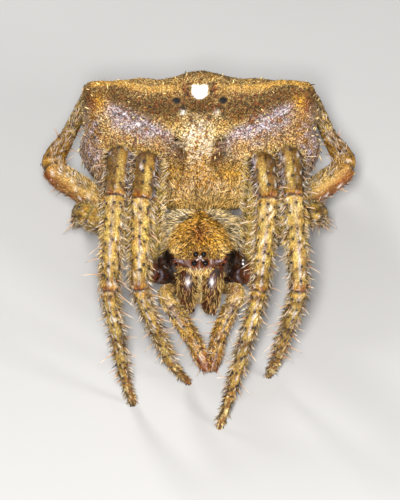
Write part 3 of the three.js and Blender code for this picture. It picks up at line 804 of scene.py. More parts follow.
def head_look(points):
    """Golden hairs on the head, long pale ones round it, red-brown face, dark shining coxae with
    painted highlight arcs and painted shade beside them.
    """
    x, y, z = points.T
    wide = np.abs(x - FACE[0])
    size = HEAD_HIGH - HEAD_LOW
    ahead = y - FACE[1]
    patch = ripple(points, 0.5, 9)
    fleck = ripple(points, 0.2, 10)
    limit = np.maximum(FACE[2] + 0.14 - 0.5 * np.maximum(ahead - 0.6, 0), FACE[2] - 1.9)
    top = ramp(limit - 0.1, limit + 0.1, z)
    look = Look(points, "umber")
    cover = look.cover
    cover("rust", 0.3 + 0.2 * patch)
    rim = top * np.clip(ramp(2.15, 2.75, wide + 0.5 * np.maximum(ahead - 1.5, 0)), 0, 1)
    dome = top * (1 - rim)
    grain = ripple(points, 0.08, 45)
    cover("gold", dome * (0.8 + 0.2 * fleck))
    cover("umber", dome * ramp(0.0, 0.8, grain) * 0.68)
    cover("cream", dome * ramp(0.3, 1.0, -grain) * 0.6)
    cover("cream", dome * near(wide, 1.9, 0.6) * near(ahead, 0.7, 0.7) * 0.55)
    cover("cream", rim * (0.8 + 0.3 * patch))
    cover("snow", rim * ramp(0.0, 0.8, grain) * 0.5)
    crown = near(wide, 0, 0.55) * near(ahead, 2.0, 1.0) * dome
    cover("rust", crown * 0.6)
    cover("rust", near(wide, 0, 0.12) * near(ahead, 1.35, 0.2) * dome * 0.9)
    for side in (-1, 1):
        gap = np.hypot(x - FACE[0] - side * 0.43, ahead - 1.9)
        cover("ink", near(gap, 0, 0.13) * dome)
    face = ramp(1.2, 0.7, ahead) * ramp(FACE[2] - 0.9, FACE[2] - 0.6, z) * (1 - top)
    brow = face * ramp(2.05, 1.8, wide)
    cover("rust", brow * 0.4)
    cover("ink", brow * 0.42)
    cover("umber", brow * ramp(-0.8, 0.4, fleck) * 0.7)
    sheen = brow * near(z, FACE[2] - 0.02, 0.07) * near(wide, 1.42, 0.28)
    cover("lilac", sheen * 0.95)
    clypeus = near(wide, 0, 0.3 + 0.25 * (z - FACE[2] + 0.7)) * near(z, FACE[2] - 0.62, 0.22) * face
    cover("tan", clypeus * 0.85)
    bare = (1 - top) * (1 - brow)
    cover("umber", bare * 0.55)
    cover("ink", bare * (0.3 + ramp(-0.4, 0.6, patch) * 0.5))
    # Lilac arcs on the coxae are painted highlights.
    level = y + z - FACE[1] - FACE[2] + 1.5
    coxa_highlight = near(wide, 2.7 + 0.5 * level**2, 0.08) * near(level, 0, 0.55) * bare
    cover("lilac", coxa_highlight * (0.5 + 0.3 * fleck))
    # Ink low at the sides of the face and beside the coxae is painted shade of the gap between head
    # and coxae.
    cover("ink", bare * ramp(1.7, 2.0, wide) * ramp(FACE[2] - 1.6, FACE[2] - 0.9, z) * 0.8)
    cover("ink", bare * near(wide, 2.2, 0.5) * 0.85)
    nearest = np.full(len(points), FAR)
    for name, place in EYE_PLACES.items():
        gap = np.linalg.norm(points - place, axis=1) / EYE_SIZES[name]
        cover("rust", near(gap, 1.3, 0.4))
        nearest = np.minimum(nearest, gap)
    eyes = ramp(2.0, 1.5, nearest)
    look.gloss = np.clip(0.25 + 0.7 * bare + brow * 0.4, 0, 1)
    look.dim = top * (1 - eyes) * 1.3
    look.fur = np.clip(top * (1 - eyes) * (0.85 - 0.58 * rim), 0, 1) + 0.05 * bare + 0.14 * brow
    look.fur += 0.85 * brow * ramp(FACE[2] - 0.15, FACE[2] - 0.35, z) * ramp(1.8, 1.5, wide)
    look.reach = 0.32 + 0.45 * rim - 0.1 * near(ahead, 0.4, 0.5)
    look.reach *= 0.4 + 0.6 * ramp(1.5, 4.0, nearest)
    look.lift = 0.36 + 0.15 * patch + 0.1 * rim
    look.lift = look.lift + 0.25 * ramp(3.6, 4.6, ahead) * top
    look.lay = unit(vectors((x - FACE[0]) * 0.6 + 0.2 * patch, -0.55, -0.65))
    around = np.arctan2(x - FACE[0], -(y - (HEAD_LOW[1] + 0.5 * size[1])))
    look.place = np.stack([around / math.tau + 0.5, np.clip((z - HEAD_LOW[2]) / size[2], 0, 1)], 1)
    return look


def jaw_look(side, points):
    """A glossy red-brown jaw with golden hairs running down it and a painted highlight near its
    top.
    """
    low, high = box_mm(f"chelicera_{side}")
    size = high - low
    share = (points - low) / size
    inward = 1 - share[:, 0] if side == "r" else share[:, 0]
    patch = ripple(points, 0.35, 11)
    look = Look(points, "rust")
    cover = look.cover
    cover("umber", 0.6 + 0.3 * patch)
    cover("ink", ramp(-0.4, 0.8, patch) * 0.5)
    cover("rust", ramp(0.3, 0.1, share[:, 2]) * 0.7)
    cover("ink", ramp(0.2, 0.02, share[:, 2]) * 0.6)
    # Lilac and snow near the top of each jaw are a painted highlight, left bare of hairs.
    painted_highlight = near(share[:, 2], 0.84, 0.1) * near(inward, 0.5, 0.15) * (share[:, 1] < 0.5)
    cover("lilac", painted_highlight)
    cover("snow", ramp(0.45, 0.9, painted_highlight))
    look.gloss[:] = 0.3
    look.fur = (1 - painted_highlight) * ramp(1.0, 0.6, share[:, 1]) * ramp(1.05, 0.9, share[:, 2])
    look.fur *= ramp(0.03, 0.35, share[:, 2])
    inner = ramp(0.72, 0.9, inward)
    look.reach = 0.42 + 0.1 * patch
    look.lift = 0.3 + 0.1 * patch + 0.6 * inner
    across = (0.25 + 0.9 * inner) * (1 if side == "l" else -1)
    look.lay = unit(vectors(across, -0.2, -1.0))
    middle = (low + high) / 2
    around = np.arctan2(points[:, 0] - middle[0], -(points[:, 1] - middle[1]))
    place = (around / math.tau + 0.5) / 2 + (0 if side == "l" else 0.5)
    look.place = np.stack([place, np.clip(share[:, 2], 0, 1)], 1)
    return look


def tail_look(points):
    """Spinnerets and the stalk: plain dark cuticle."""
    look = Look(points, "umber")
    look.cover("olive", 0.3 + 0.2 * ripple(points, 0.3, 12))
    look.gloss += 0.3
    look.reach *= 0.7
    look.lay = np.tile((0.0, 0.5, -1.0), (len(points), 1))
    low, high = box_mm("spinnerets")
    look.place = np.clip((points[:, [0, 2]] - low[[0, 2]]) / (high - low)[[0, 2]], 0, 1)
    return look


REGIONS = ["abdomen", "prosoma", *JAWS, "pedicel", "spinnerets", *PALPS, *LEGS]


def region_look(region, points):
    if region in LEGS:
        return leg_look(region, points)
    if region in PALPS:
        return palp_look(region, points)
    if region == "abdomen":
        return abdomen_look(points)
    if region == "prosoma":
        return head_look(points)
    if region.startswith("chelicera"):
        return jaw_look(region[-1], points)
    return tail_look(points)


# ---- Meshes -------------------------------------------------------------


def numbers_of(items, field, wide=1, kind=np.int32):
    """One field of all the items of a mesh, as rows if it is wider than one number."""
    values = np.empty(len(items) * wide, kind)
    items.foreach_get(field, values)
    return values if wide == 1 else values.reshape(-1, wide)


def vertex_places(mesh):
    return numbers_of(mesh.vertices, "co", 3, np.float32).astype(float)


def vertex_normals(mesh):
    return numbers_of(mesh.vertex_normals, "vector", 3, np.float32).astype(float)


def add_object(name, data):
    thing = bpy.data.objects.new(name, data)
    bpy.context.scene.collection.objects.link(thing)
    return thing


def from_bmesh(name, shape):
    bmesh.ops.recalc_face_normals(shape, faces=shape.faces)
    if shape.calc_volume(signed=True) < 0:
        bmesh.ops.reverse_faces(shape, faces=shape.faces)
    mesh = bpy.data.meshes.new(name)
    shape.to_mesh(mesh)
    shape.free()
    return add_object(name, mesh)


def settled(thing):
    """Replaces an object's mesh by the one its modifiers make."""
    graph = bpy.context.evaluated_depsgraph_get()
    mesh = bpy.data.meshes.new_from_object(thing.evaluated_get(graph))
    thing.modifiers.clear()
    thing.data = mesh
    return thing


def dress(thing, material, replaced=()):
    """Shrinks a finished piece to metres, gives it its material and smooth shading, hangs it under
    the root empty and hides the CAD parts it replaces.
    """
    thing.data.transform(Matrix.Scale(MM, 4))
    thing.data.materials.clear()
    thing.data.materials.append(material)
    thing.data.polygons.foreach_set("use_smooth", [True] * len(thing.data.polygons))
    thing.data.update()
    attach(thing, "root")
    if replaced:
        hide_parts(*replaced)
    return thing


def add_values(mesh, name, values):
    attribute = mesh.attributes.new(name, "FLOAT", "POINT")
    attribute.data.foreach_set("value", np.asarray(values, np.float32))


ROOT_DEPTH = 0.55  # millimetres that a limb's skin starts inside the body


def limb_skin(name, sides, step, depth):
    """A closed tube round a limb, with rings closer together at its joints."""
    limb = LIMBS[name]
    fine = 0.01
    places = np.arange(0, limb.length, fine)
    closeness = 1 + 3.2 * np.exp(-((places[:, None] - limb.joints[None]) / 0.25) ** 2).sum(1)
    filled = np.cumsum(closeness) * fine / step
    rings = np.interp(np.arange(0, filled[-1]), filled, places)
    rings = np.r_[0.0, rings[1:-1], limb.length]
    shape = bmesh.new()
    bmesh.ops.create_grid(shape, x_segments=sides, y_segments=len(rings), size=1)
    shape.verts.ensure_lookup_table()
    flat = np.array([vertex.co for vertex in shape.verts])
    turn = (flat[:, 0] + 1) * math.pi
    order = np.round((flat[:, 1] + 1) / 2 * len(rings)).astype(int)
    sunk = np.maximum(order - 1, 0)
    gone = rings[sunk]
    points, _ = limb.surface(gone, turn, -depth)
    root = order == 0
    points[root] -= limb.along[0] * ROOT_DEPTH
    points[:, 2] = np.maximum(points[:, 2], 0)
    points[(gone == limb.length), 2] *= 0 if name in LEGS else 1
    for vertex, point in zip(shape.verts, points):
        vertex.co = point
    bmesh.ops.remove_doubles(shape, verts=shape.verts, dist=0.0005)
    edges = [edge for edge in shape.edges if edge.is_boundary]
    bmesh.ops.holes_fill(shape, edges=edges, sides=0)
    return from_bmesh(f"skin_{name}", shape)


def smooth_copy(node, levels):
    """A smooth closed shape from the facets of a CAD node."""
    shape = node_copy(node)
    bmesh.ops.join_triangles(
        shape, faces=shape.faces, angle_face_threshold=0.7, angle_shape_threshold=1.2
    )
    thing = from_bmesh(f"skin_{node}", shape)
    if levels:
        rounding = thing.modifiers.new("rounding", "SUBSURF")
        rounding.levels = levels
        rounding.render_levels = levels
        settled(thing)
    return thing


def move_out(thing, amounts):
    """Moves each vertex along its normal by millimetres."""
    mesh = thing.data
    places = vertex_places(mesh) + vertex_normals(mesh) * amounts[:, None]
    mesh.vertices.foreach_set("co", places.ravel())
    mesh.update()


def knitted(thing, grain, rounds):
    """Lays an even, eased mesh over an object's shape."""
    knit = thing.modifiers.new("knit", "REMESH")
    knit.mode = "VOXEL"
    knit.voxel_size = grain
    ease = thing.modifiers.new("ease", "SMOOTH")
    ease.factor = 0.5
    ease.iterations = rounds
    return settled(thing)


def abdomen_skin(grain):
    """Shoulders, ridge, folds, muscle pits and wrinkles on the smoothed abdomen."""
    thing = knitted(smooth_copy("abdomen", 2), grain, 4)
    points = vertex_places(thing.data)
    x, angle, high = abdomen_place(points)
    wide = np.abs(x)
    shade = crest(x) - high
    out = 0.28 * near(wide, 7.8, 0.7) * near(high, 67, 7)
    out -= 0.4 * near(wide, 8.9, 0.8) * near(high, 46, 14)
    out += 0.15 * near(shade, 0, 2.6) * ramp(1.2, 2.6, wide) * ramp(8.6, 7.8, wide)
    out -= 0.07 * near(shade, 7, 3) * ramp(1.5, 3, wide)
    dent = 0.15 * near(wide, 3.0, 0.9) * near(angle, 76, 7)
    out += 0.32 * near(wide, 0, 1.3) * near(angle, 77, 6) - dent
    out += 0.12 * near(wide, 0, 0.75) * near(high, 63, 4)
    groove = crease(wide, high, GROOVE)
    out -= 0.13 * near(groove, 0, 0.34)
    fold = crease(wide, high, FOLD)
    out -= 0.06 * near(fold, 0, 0.14)
    ray = crease(wide, high, ((1.3, 42), (4.2, 56)))
    out -= 0.05 * near(ray, 0, 0.2)
    for place, height, radius in PITS:
        gap = np.hypot(x - place, (high - height) * DEGREE)
        out -= 0.16 * near(gap, 0, radius * 1.1)
    out += 0.05 * ripple(points, 1.3, 20) + 0.022 * ripple(points, 0.45, 21)
    out -= 0.04 * (1 + np.sin(high * 0.42 + 0.5 * ripple(points, 1.5, 22))) * ramp(95, 120, angle)
    move_out(thing, out)
    return thing


def head_skin(grain):
    """Head, thorax and coxae run together, with the clearances of the solids closed up."""
    thing = knitted(from_bmesh("skin_prosoma", node_copy("prosoma")), grain, 5)
    points = vertex_places(thing.data)
    x, y, z = points.T
    wide = np.abs(x - FACE[0])
    out = 0.02 * ripple(points, 0.5, 23)
    head = line_distance(wide, y - FACE[1], [(0.3, 3.4), (1.5, 2.5), (2.3, 1.4)])
    out -= 0.12 * near(head, 0, 0.3) * ramp(FACE[2] - 1.5, FACE[2] - 0.5, z)
    out += 0.25 * near(wide, 1.7, 0.5) * near(y, FACE[1] + 0.3, 0.5) * near(z, FACE[2] + 0.1, 0.4)
    out += 0.3 * near(y, FACE[1] + 5.2, 1.2) * ramp(4.4, 5.2, z)
    for name, place in EYE_PLACES.items():
        gap = np.linalg.norm(points - place, axis=1) / EYE_SIZES[name]
        out -= 0.75 * EYE_SIZES[name] * near(gap, 0, 2.0) * ("median" in name)
    move_out(thing, out)
    return thing


def ball(around, levels, radius=1.0):
    """A closed ball rolled from a grid, so that its faces come in the same order every run."""
    shape = bmesh.new()
    bmesh.ops.create_grid(shape, x_segments=around, y_segments=levels, size=1)
    for vertex in shape.verts:
        turn, tilt = vertex.co.x * math.pi, vertex.co.y * math.pi / 2
        out = radius * math.cos(tilt)
        vertex.co = (out * math.cos(turn), out * math.sin(turn), radius * math.sin(tilt))
    bmesh.ops.remove_doubles(shape, verts=shape.verts, dist=radius * 0.0005)
    return shape


def jaw_skin(name):
    """A stout jaw, nearly as thick at its foot as under the brow."""
    node = node_copy(name)
    ends = sorted((np.array(vertex.co) for vertex in node.verts), key=lambda place: place[2])
    node.free()
    foot, top = ends[0], ends[-1] + (0, 0.3, 0.5)
    low, high = box_mm(name)
    half = (high[0] - low[0]) / 2
    shape = ball(36, 26)
    for vertex in shape.verts:
        x, y, z = vertex.co
        level = (z + 1) / 2
        full = (1 - abs(z) ** 3.4) ** 0.5 / max(math.hypot(x, y), 1e-6)
        half_here = half * (0.9 + 0.12 * level) * full
        middle = foot + (top - foot) * level
        bow = 0.16 * math.sin(math.pi * level)
        deep = half_here * (1.12 if y < 0 else 0.95)
        vertex.co = (middle[0] + x * half_here, middle[1] + y * deep - bow, middle[2])
    return from_bmesh(f"skin_{name}", shape)


def union(things):
    """One closed skin from overlapping closed shapes."""
    whole = things[0]
    for other in things[1:]:
        joining = whole.modifiers.new("joining", "BOOLEAN")
        joining.operation = "UNION"
        joining.solver = "MANIFOLD"
        joining.object = other
    return settled(whole)


def nearest_region(mesh, trees):
    """The region that each face of the joined skin came from."""
    centres = numbers_of(mesh.polygons, "center", 3, np.float32)
    best = np.full(len(centres), FAR)
    region = np.zeros(len(centres), int)
    for index, (low, high, tree) in enumerate(trees):
        inside = ((centres > low - 0.05) & (centres < high + 0.05)).all(1)
        for face in np.flatnonzero(inside):
            gap = tree.find_nearest(Vector(centres[face]))[3]
            if gap < best[face]:
                best[face] = gap
                region[face] = index
    return region


# ---- Materials ----------------------------------------------------------


class Wire:
    """A shader socket that can be reckoned with, as in 1 - mask."""

    def __init__(self, paint, socket):
        self.paint = paint
        self.socket = socket

    def ramp(self, low, high):
        """0 below low, 1 above high, smooth between them."""
        return self.paint.add(
            "ShaderNodeMapRange",
            {"interpolation_type": "SMOOTHSTEP"},
            {"Value": self, "From Min": low, "From Max": high},
        )


def reckoner(operation, turned):
    """A Python operator that adds a Math node; turned puts the other value first."""

    def reckon(self, other):
        values = (other, self) if turned else (self, other)
        settings = {"operation": operation}
        return self.paint.add("ShaderNodeMath", settings, dict(enumerate(values)))

    return reckon


for sign, operation in {"add": "ADD", "sub": "SUBTRACT", "mul": "MULTIPLY", "pow": "POWER"}.items():
    setattr(Wire, f"__{sign}__", reckoner(operation, False))
    setattr(Wire, f"__r{sign}__", reckoner(operation, True))


def pigment_colour(name):
    """The colour that the settings give a pigment."""
    return tuple(getattr(bpy.context.scene.spider_skin, name))


class Paint:
    """The nodes of one material."""

    def __init__(self, name):
        self.material = bpy.data.materials.new(name)
        self.material.use_nodes = True
        self.tree = self.material.node_tree
        self.shader = self.tree.nodes["Principled BSDF"]

    def add(self, kind, settings=None, sockets=None, output=0):
        """One node: its settings first, then the values or links of its sockets."""
        node = self.tree.nodes.new(kind)
        for name, value in (settings or {}).items():
            setattr(node, name, value)
        self.connect(node, sockets or {})
        return Wire(self, node.outputs[output])

    def connect(self, node, sockets):
        for name, value in sockets.items():
            if isinstance(value, Wire):
                self.tree.links.new(value.socket, node.inputs[name])
            else:
                node.inputs[name].default_value = value

    def set(self, **sockets):
        """Sets or links the shader's own sockets; underscores stand for spaces."""
        self.connect(self.shader, {name.replace("_", " "): v for name, v in sockets.items()})

    def place(self):
        return self.add("ShaderNodeTexCoord", output="Object")

    def noise(self, size, detail=2.0, output=0):
        """Noise with lumps of a size in millimetres."""
        sockets = {"Vector": self.place(), "Scale": 1 / (size * MM), "Detail": detail}
        return self.add("ShaderNodeTexNoise", {}, sockets, output)

    def cells(self, size, output=0):
        """Cells of a size in millimetres: 0 the distance from their middle, 1 a random tone."""
        sockets = {"Vector": self.place(), "Scale": 1 / (size * MM)}
        return self.add("ShaderNodeTexVoronoi", {}, sockets, output)

    def attribute(self, name):
        return self.add("ShaderNodeAttribute", {"attribute_name": name}, output="Fac")

    def blend(self, first, second, share, mode="MIX"):
        """Mixes two colours by a share."""
        first, second = (
            (*c, 1) if isinstance(c, tuple) and len(c) == 3 else c for c in (first, second)
        )
        sockets = {0: share, 6: first, 7: second}
        return self.add("ShaderNodeMix", {"data_type": "RGBA", "blend_type": mode}, sockets, 2)

    def scaled(self, colour, amount):
        return self.add("ShaderNodeVectorMath", {"operation": "SCALE"}, {0: colour, 3: amount})

    def bump(self, height, depth, strength=1.0, normal=None):
        """A relief of a depth in millimetres."""
        sockets = {"Height": height, "Distance": depth * MM, "Strength": strength}
        if normal:
            sockets["Normal"] = normal
        return self.add("ShaderNodeBump", {}, sockets)

    def pigments(self):
        """The markings, painted highlights and painted shade among them: every pigment in the share
        that the surface has of it.
        """
        total = None
        for name in PIGMENTS:
            part = self.scaled(pigment_colour(name), self.attribute(name))
            if total is None:
                total = part
            else:
                total = self.add("ShaderNodeVectorMath", {"operation": "ADD"}, {0: total, 1: part})
        return total


def skin_material():
    """Fine-grained cuticle: leathery where dull, polished where glossy, with painted shade under
    the coat and between its grains.
    """
    paint = Paint("cuticle")
    marks = paint.pigments()
    cells = paint.cells(0.11)
    fine = paint.noise(0.05, 3)
    broad = paint.noise(0.5, 3)
    gloss = paint.attribute("gloss")
    snow = paint.attribute("snow")
    grit = paint.attribute("grit") * (1 - snow)
    # Each grain has a random tone and is painted bright in its middle and dark at its rim: painted
    # shading that follows the bump of the grains.
    grain_middle = 1 - paint.cells(0.12).ramp(0.3, 0.75)
    tone = paint.cells(0.12, 1)
    # The skin under the coat is darkened: painted shade beneath the hairs, kept off white.
    painted_coat_shade = paint.attribute("dim") * (1 - snow)
    shade = (0.4 + 0.6 * broad + 0.55 * cells) * (1 - 0.68 * painted_coat_shade)
    shade = shade * (1 - grit + grit * (0.1 + (0.35 + 1.95 * tone) * grain_middle))
    colour = paint.scaled(marks, shade)
    colour = paint.blend(colour, pigment_colour("rust"), (1 - tone.ramp(0.2, 0.35)) * grit * 0.6)
    speck = paint.noise(0.16, 2).ramp(0.6, 0.7)
    colour = paint.blend(colour, paint.scaled(marks, 0.35), speck * (1 - gloss) * 0.7)
    paint.set(
        Base_Color=colour,
        Roughness=0.62 - 0.34 * gloss + 0.12 * fine,
        Specular_IOR_Level=0.25,
    )
    relief = cells * 0.8 + fine * 0.5 + grit * grain_middle
    paint.set(Normal=paint.bump(relief * (1.15 - gloss), 0.035, 0.8))
    paint.set(Coat_Weight=gloss.ramp(0.5, 1.0) * 0.6, Coat_Roughness=0.18)
    return paint.material


def hair_material(name, root_shade, tip_shade, tip_white, roughness=0.45):
    """Hairs in the skin's own markings: dark and bright ones mixed, painted darker at the root as
    shade deep in the coat, and paler at the tip.
    """
    paint = Paint(name)
    marks = paint.pigments()
    tip = paint.attribute("tip")
    vary = paint.attribute("vary")
    snow = paint.attribute("snow")
    # Each hair is darker at its root than at its tip: painted shade deep in the coat; vary gives
    # every hair a tone of its own.
    shade = (root_shade + (tip_shade - root_shade) * tip) * (0.08 + 2.25 * vary**1.7)
    colour = paint.scaled(marks, shade * (1 - 0.75 * snow) + 0.85 * snow)
    share = (tip * 0.6 + 0.4) * vary.ramp(0.6, 1.0) * tip_white * (1 - paint.attribute("umber"))
    colour = paint.blend(colour, pigment_colour("cream"), share)
    streaks = paint.noise(0.03, 2)
    paint.set(Base_Color=colour, Roughness=roughness + 0.1 * streaks, Specular_IOR_Level=0.2)
    paint.set(Normal=paint.bump(streaks, 0.004, 0.4))
    return paint.material


# ---- Hairs --------------------------------------------------------------


UV_FIELD, UV_HAIR = 0.996, 0.003  # shares of the unwrapped square: all roots, and one hair


def grow(name, look, normals, width, seed, sides=3, rings=2, lean=0.45, scatter=0.35, base=0.02):
    """Joined closed hairs: each a bent cone that follows the lie of the coat."""
    rng = np.random.default_rng(seed)
    count = len(look.points)
    lay = unit(look.lay - dots(look.lay, normals)[:, None] * normals)
    swing = rng.normal(0, scatter, count)[:, None]
    lay = unit(lay * np.cos(swing) + np.cross(normals, lay) * np.sin(swing))
    reach = look.reach * rng.uniform(0.65, 1.25, count)
    lift = np.clip(look.lift * rng.uniform(0.7, 1.3, count), 0.08, 1.5)
    wide = width * rng.uniform(0.75, 1.25, count) / 2
    spot = look.points - normals * base
    layers = []
    for ring in range(rings + 1):
        share = ring / rings
        angle = (lift * (1 - lean * share))[:, None]
        along = lay * np.cos(angle) + normals * np.sin(angle)
        beside = unit(np.cross(along, normals))
        above = np.cross(beside, along)
        if ring == rings:
            layers.append(spot[:, None])
            break
        turns = np.arange(sides) * math.tau / sides
        radius = (wide * (1 - 0.45 * share))[:, None, None]
        circle = beside[:, None] * np.cos(turns)[:, None]
        circle = circle + above[:, None] * np.sin(turns)[:, None]
        layers.append(spot[:, None] + circle * radius)
        spot = spot + along * (reach / rings)[:, None]
    places = np.concatenate(layers, 1)
    places[..., 2] = np.maximum(places[..., 2], FLOOR_GAP)
    each = places.shape[1]
    faces = [tuple(range(sides - 1, -1, -1))]
    for low in range(0, rings * sides, sides):
        for k in range(sides):
            here, after = low + k, low + (k + 1) % sides
            top = (each - 1,) if low == (rings - 1) * sides else (after + sides, here + sides)
            faces.append((here, after, *top))
    sizes = [len(face) for face in faces]
    corners = np.concatenate(faces)
    mesh = bpy.data.meshes.new(name)
    mesh.vertices.add(count * each)
    mesh.vertices.foreach_set("co", places.reshape(-1).astype(np.float32))
    mesh.loops.add(count * len(corners))
    loops = (np.arange(count)[:, None] * each + corners).reshape(-1)
    mesh.loops.foreach_set("vertex_index", loops.astype(np.int32))
    mesh.polygons.add(count * len(faces))
    starts = np.r_[0, np.cumsum(np.tile(sizes, count))[:-1]]
    mesh.polygons.foreach_set("loop_start", starts.astype(np.int32))
    mesh.update(calc_edges=True)
    patch = [(k / (sides - 1), ring / rings) for ring in range(rings) for k in range(sides)]
    patch = np.array([*patch, (0.5, 1)])
    spread = look.place[:, None] * UV_FIELD + patch * UV_HAIR
    unwrap = mesh.uv_layers.new(name="OFBake")
    unwrap.uv.foreach_set("vector", spread.reshape(-1, 2)[loops].reshape(-1).astype(np.float32))
    for pigment, share in look.shares.items():
        add_values(mesh, pigment, np.repeat(share, each))
    add_values(mesh, "tip", np.tile(patch[:, 1], count))
    add_values(mesh, "vary", np.repeat(rng.uniform(0, 1, count), each))
    mesh.validate()
    return add_object(name, mesh)


def skin_faces(name):
    """Triangles of the finished skin in a region, in millimetres, with vertex normals."""
    mesh = bpy.data.objects[SKIN].data
    places = vertex_places(mesh) / MM
    normals = vertex_normals(mesh)
    mesh.calc_loop_triangles()
    corners = numbers_of(mesh.loop_triangles, "vertices", 3)
    owner = numbers_of(mesh.loop_triangles, "polygon_index")
    region = numbers_of(mesh.attributes["region"].data, "value")
    return places, normals, corners[region[owner] == REGIONS.index(name)]


def sow(region, count, seed, where=None):
    """Seeded hair roots spread evenly over the skin, thinned where the look has less fur."""
    rng = np.random.default_rng(seed)
    places, normals, faces = skin_faces(region)
    if where is not None:
        faces = faces[where(places[faces].mean(1))]
    a, b, c = (places[faces[:, k]] for k in range(3))
    area = np.linalg.norm(np.cross(b - a, c - a), axis=1)
    tries = count * 3
    chosen = rng.choice(len(faces), size=tries, p=area / area.sum())
    weight = rng.dirichlet((1, 1, 1), tries)
    points = (places[faces[chosen]] * weight[:, :, None]).sum(1)
    out = unit((normals[faces[chosen]] * weight[:, :, None]).sum(1))
    look = region_look(region, points)
    keep = np.flatnonzero(rng.random(tries) < look.fur)[:count]
    return look.pick(keep), out[keep]


# ---- Operators ----------------------------------------------------------


class SPIDER_OT_skin(bpy.types.Operator):
    """Build one skin for body, legs, palps and jaws"""

    bl_idname = "spider.skin"
    bl_label = "Skin"
    FEWEST = 20000  # faces of a skin whose parts have all joined

    def execute(self, context):
        settings = context.scene.spider_skin
        depth = settings.coat_depth / MM
        parts = {
            "abdomen": abdomen_skin(settings.abdomen_grain / MM),
            "prosoma": head_skin(settings.head_grain / MM),
        }
        for name in JAWS:
            parts[name] = jaw_skin(name)
        for name, stretch in {"pedicel": (1, 1.35, 1), "spinnerets": (1.05, 1.05, 1.15)}.items():
            parts[name] = smooth_copy(name, 1)
            middle = Matrix.Translation(sum(box_mm(name)) / 2)
            grown = middle @ Matrix.Diagonal((*stretch, 1)) @ middle.inverted()
            parts[name].data.transform(grown)
        for name in [*PALPS, *LEGS]:
            parts[name] = limb_skin(name, settings.leg_sides, settings.ring_step / MM, depth)
        trees = []
        for name in REGIONS:
            part = parts[name]
            points = vertex_places(part.data)
            shape = bmesh.new()
            shape.from_mesh(part.data)
            trees.append((points.min(0), points.max(0), BVHTree.FromBMesh(shape)))
            shape.free()
        order = ["prosoma", *LEGS, *PALPS, *JAWS, "pedicel", "abdomen", "spinnerets"]
        skin = union([parts[name] for name in order])
        for name, part in parts.items():
            if part != skin:
                bpy.data.objects.remove(part)
        skin.name = SKIN
        mesh = skin.data
        if len(mesh.polygons) < self.FEWEST:
            raise RuntimeError("the parts of the skin didn't join")
        region = nearest_region(mesh, trees)
        kept = mesh.attributes.new("region", "INT", "FACE")
        kept.data.foreach_set("value", region.astype(np.int32))
        points = vertex_places(mesh)
        owner = np.zeros(len(points), int)
        corners = numbers_of(mesh.loops, "vertex_index")
        owner[corners] = np.repeat(region, numbers_of(mesh.polygons, "loop_total"))
        shares = {name: np.zeros(len(points)) for name in [*PIGMENTS, "gloss", "dim", "grit"]}
        for index, name in enumerate(REGIONS):
            here = np.flatnonzero(owner == index)
            look = region_look(name, points[here])
            found = {**look.shares, "gloss": look.gloss, "dim": look.dim, "grit": look.grit}
            for field, share in found.items():
                shares[field][here] = share
        for name, values in shares.items():
            add_values(mesh, name, values)
        flesh = [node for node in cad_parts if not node.startswith(("eye", "fang"))]
        dress(skin, skin_material(), flesh)
        return {"FINISHED"}


class SPIDER_OT_eyes(bpy.types.Operator):
    """Model the eight eyes"""

    bl_idname = "spider.eyes"
    bl_label = "Eyes"

    def execute(self, context):
        dark, light = (0.002, 0.002, 0.002), (0.008, 0.004, 0.003)
        paint, _ = horn("eye", dark, light, 0.2, 2, 0.06, 0.05, Specular_IOR_Level=0.25)
        paint.set(Coat_Weight=0.15, Coat_Roughness=0.1)
        for name in EYES:
            shape = ball(24, 16, EYE_SIZES[name] * (1.08 if "median" in name else 1.0))
            bmesh.ops.rotate(shape, verts=shape.verts, matrix=Matrix.Rotation(0.9, 3, "X"))
            bmesh.ops.translate(shape, verts=shape.verts, vec=Vector(EYE_PLACES[name]))
            dress(from_bmesh(f"{name}_ball", shape), paint.material, [name])
        return {"FINISHED"}


class SPIDER_OT_fangs(bpy.types.Operator):
    """Model the fangs"""

    bl_idname = "spider.fangs"
    bl_label = "Fangs"

    def execute(self, context):
        dark, light = (0.02, 0.006, 0.003), (0.09, 0.02, 0.008)
        paint, grain = horn("fang", dark, light, 0.15, 3, 0.18, 0.12)
        paint.set(Coat_Weight=0.5, Coat_Roughness=0.1, Normal=paint.bump(grain, 0.01, 0.3))
        for name in ("fang_l", "fang_r"):
            dress(smooth_copy(name, 2), paint.material, [name])
        return {"FINISHED"}


def horn(name, dark, light, grain, detail, rough, uneven, **sockets):
    """A hard finish that is clouded between two colours, and the clouds themselves."""
    paint = Paint(name)
    cloud = paint.noise(grain, detail)
    paint.set(
        Base_Color=paint.blend(dark, light, cloud), Roughness=rough + uneven * cloud, **sockets
    )
    return paint, cloud


def spine_material():
    """Cream spines that are dark and then orange at the base."""
    paint = Paint("spine")
    tip = paint.attribute("tip")
    colour = paint.blend(pigment_colour("ink"), pigment_colour("rust"), tip.ramp(0.0, 0.16))
    vary = paint.attribute("vary")
    colour = paint.blend(colour, (0.52, 0.26, 0.1), tip.ramp(0.1, 0.3))
    colour = paint.blend(colour, (0.8, 0.68, 0.52), tip.ramp(0.25, 0.7) * (0.3 + 0.7 * vary))
    streak = paint.noise(0.05, 3)
    paint.set(Base_Color=paint.scaled(colour, 0.75 + 0.4 * streak), Roughness=0.32)
    paint.set(Normal=paint.bump(streak, 0.006, 0.5))
    return paint.material


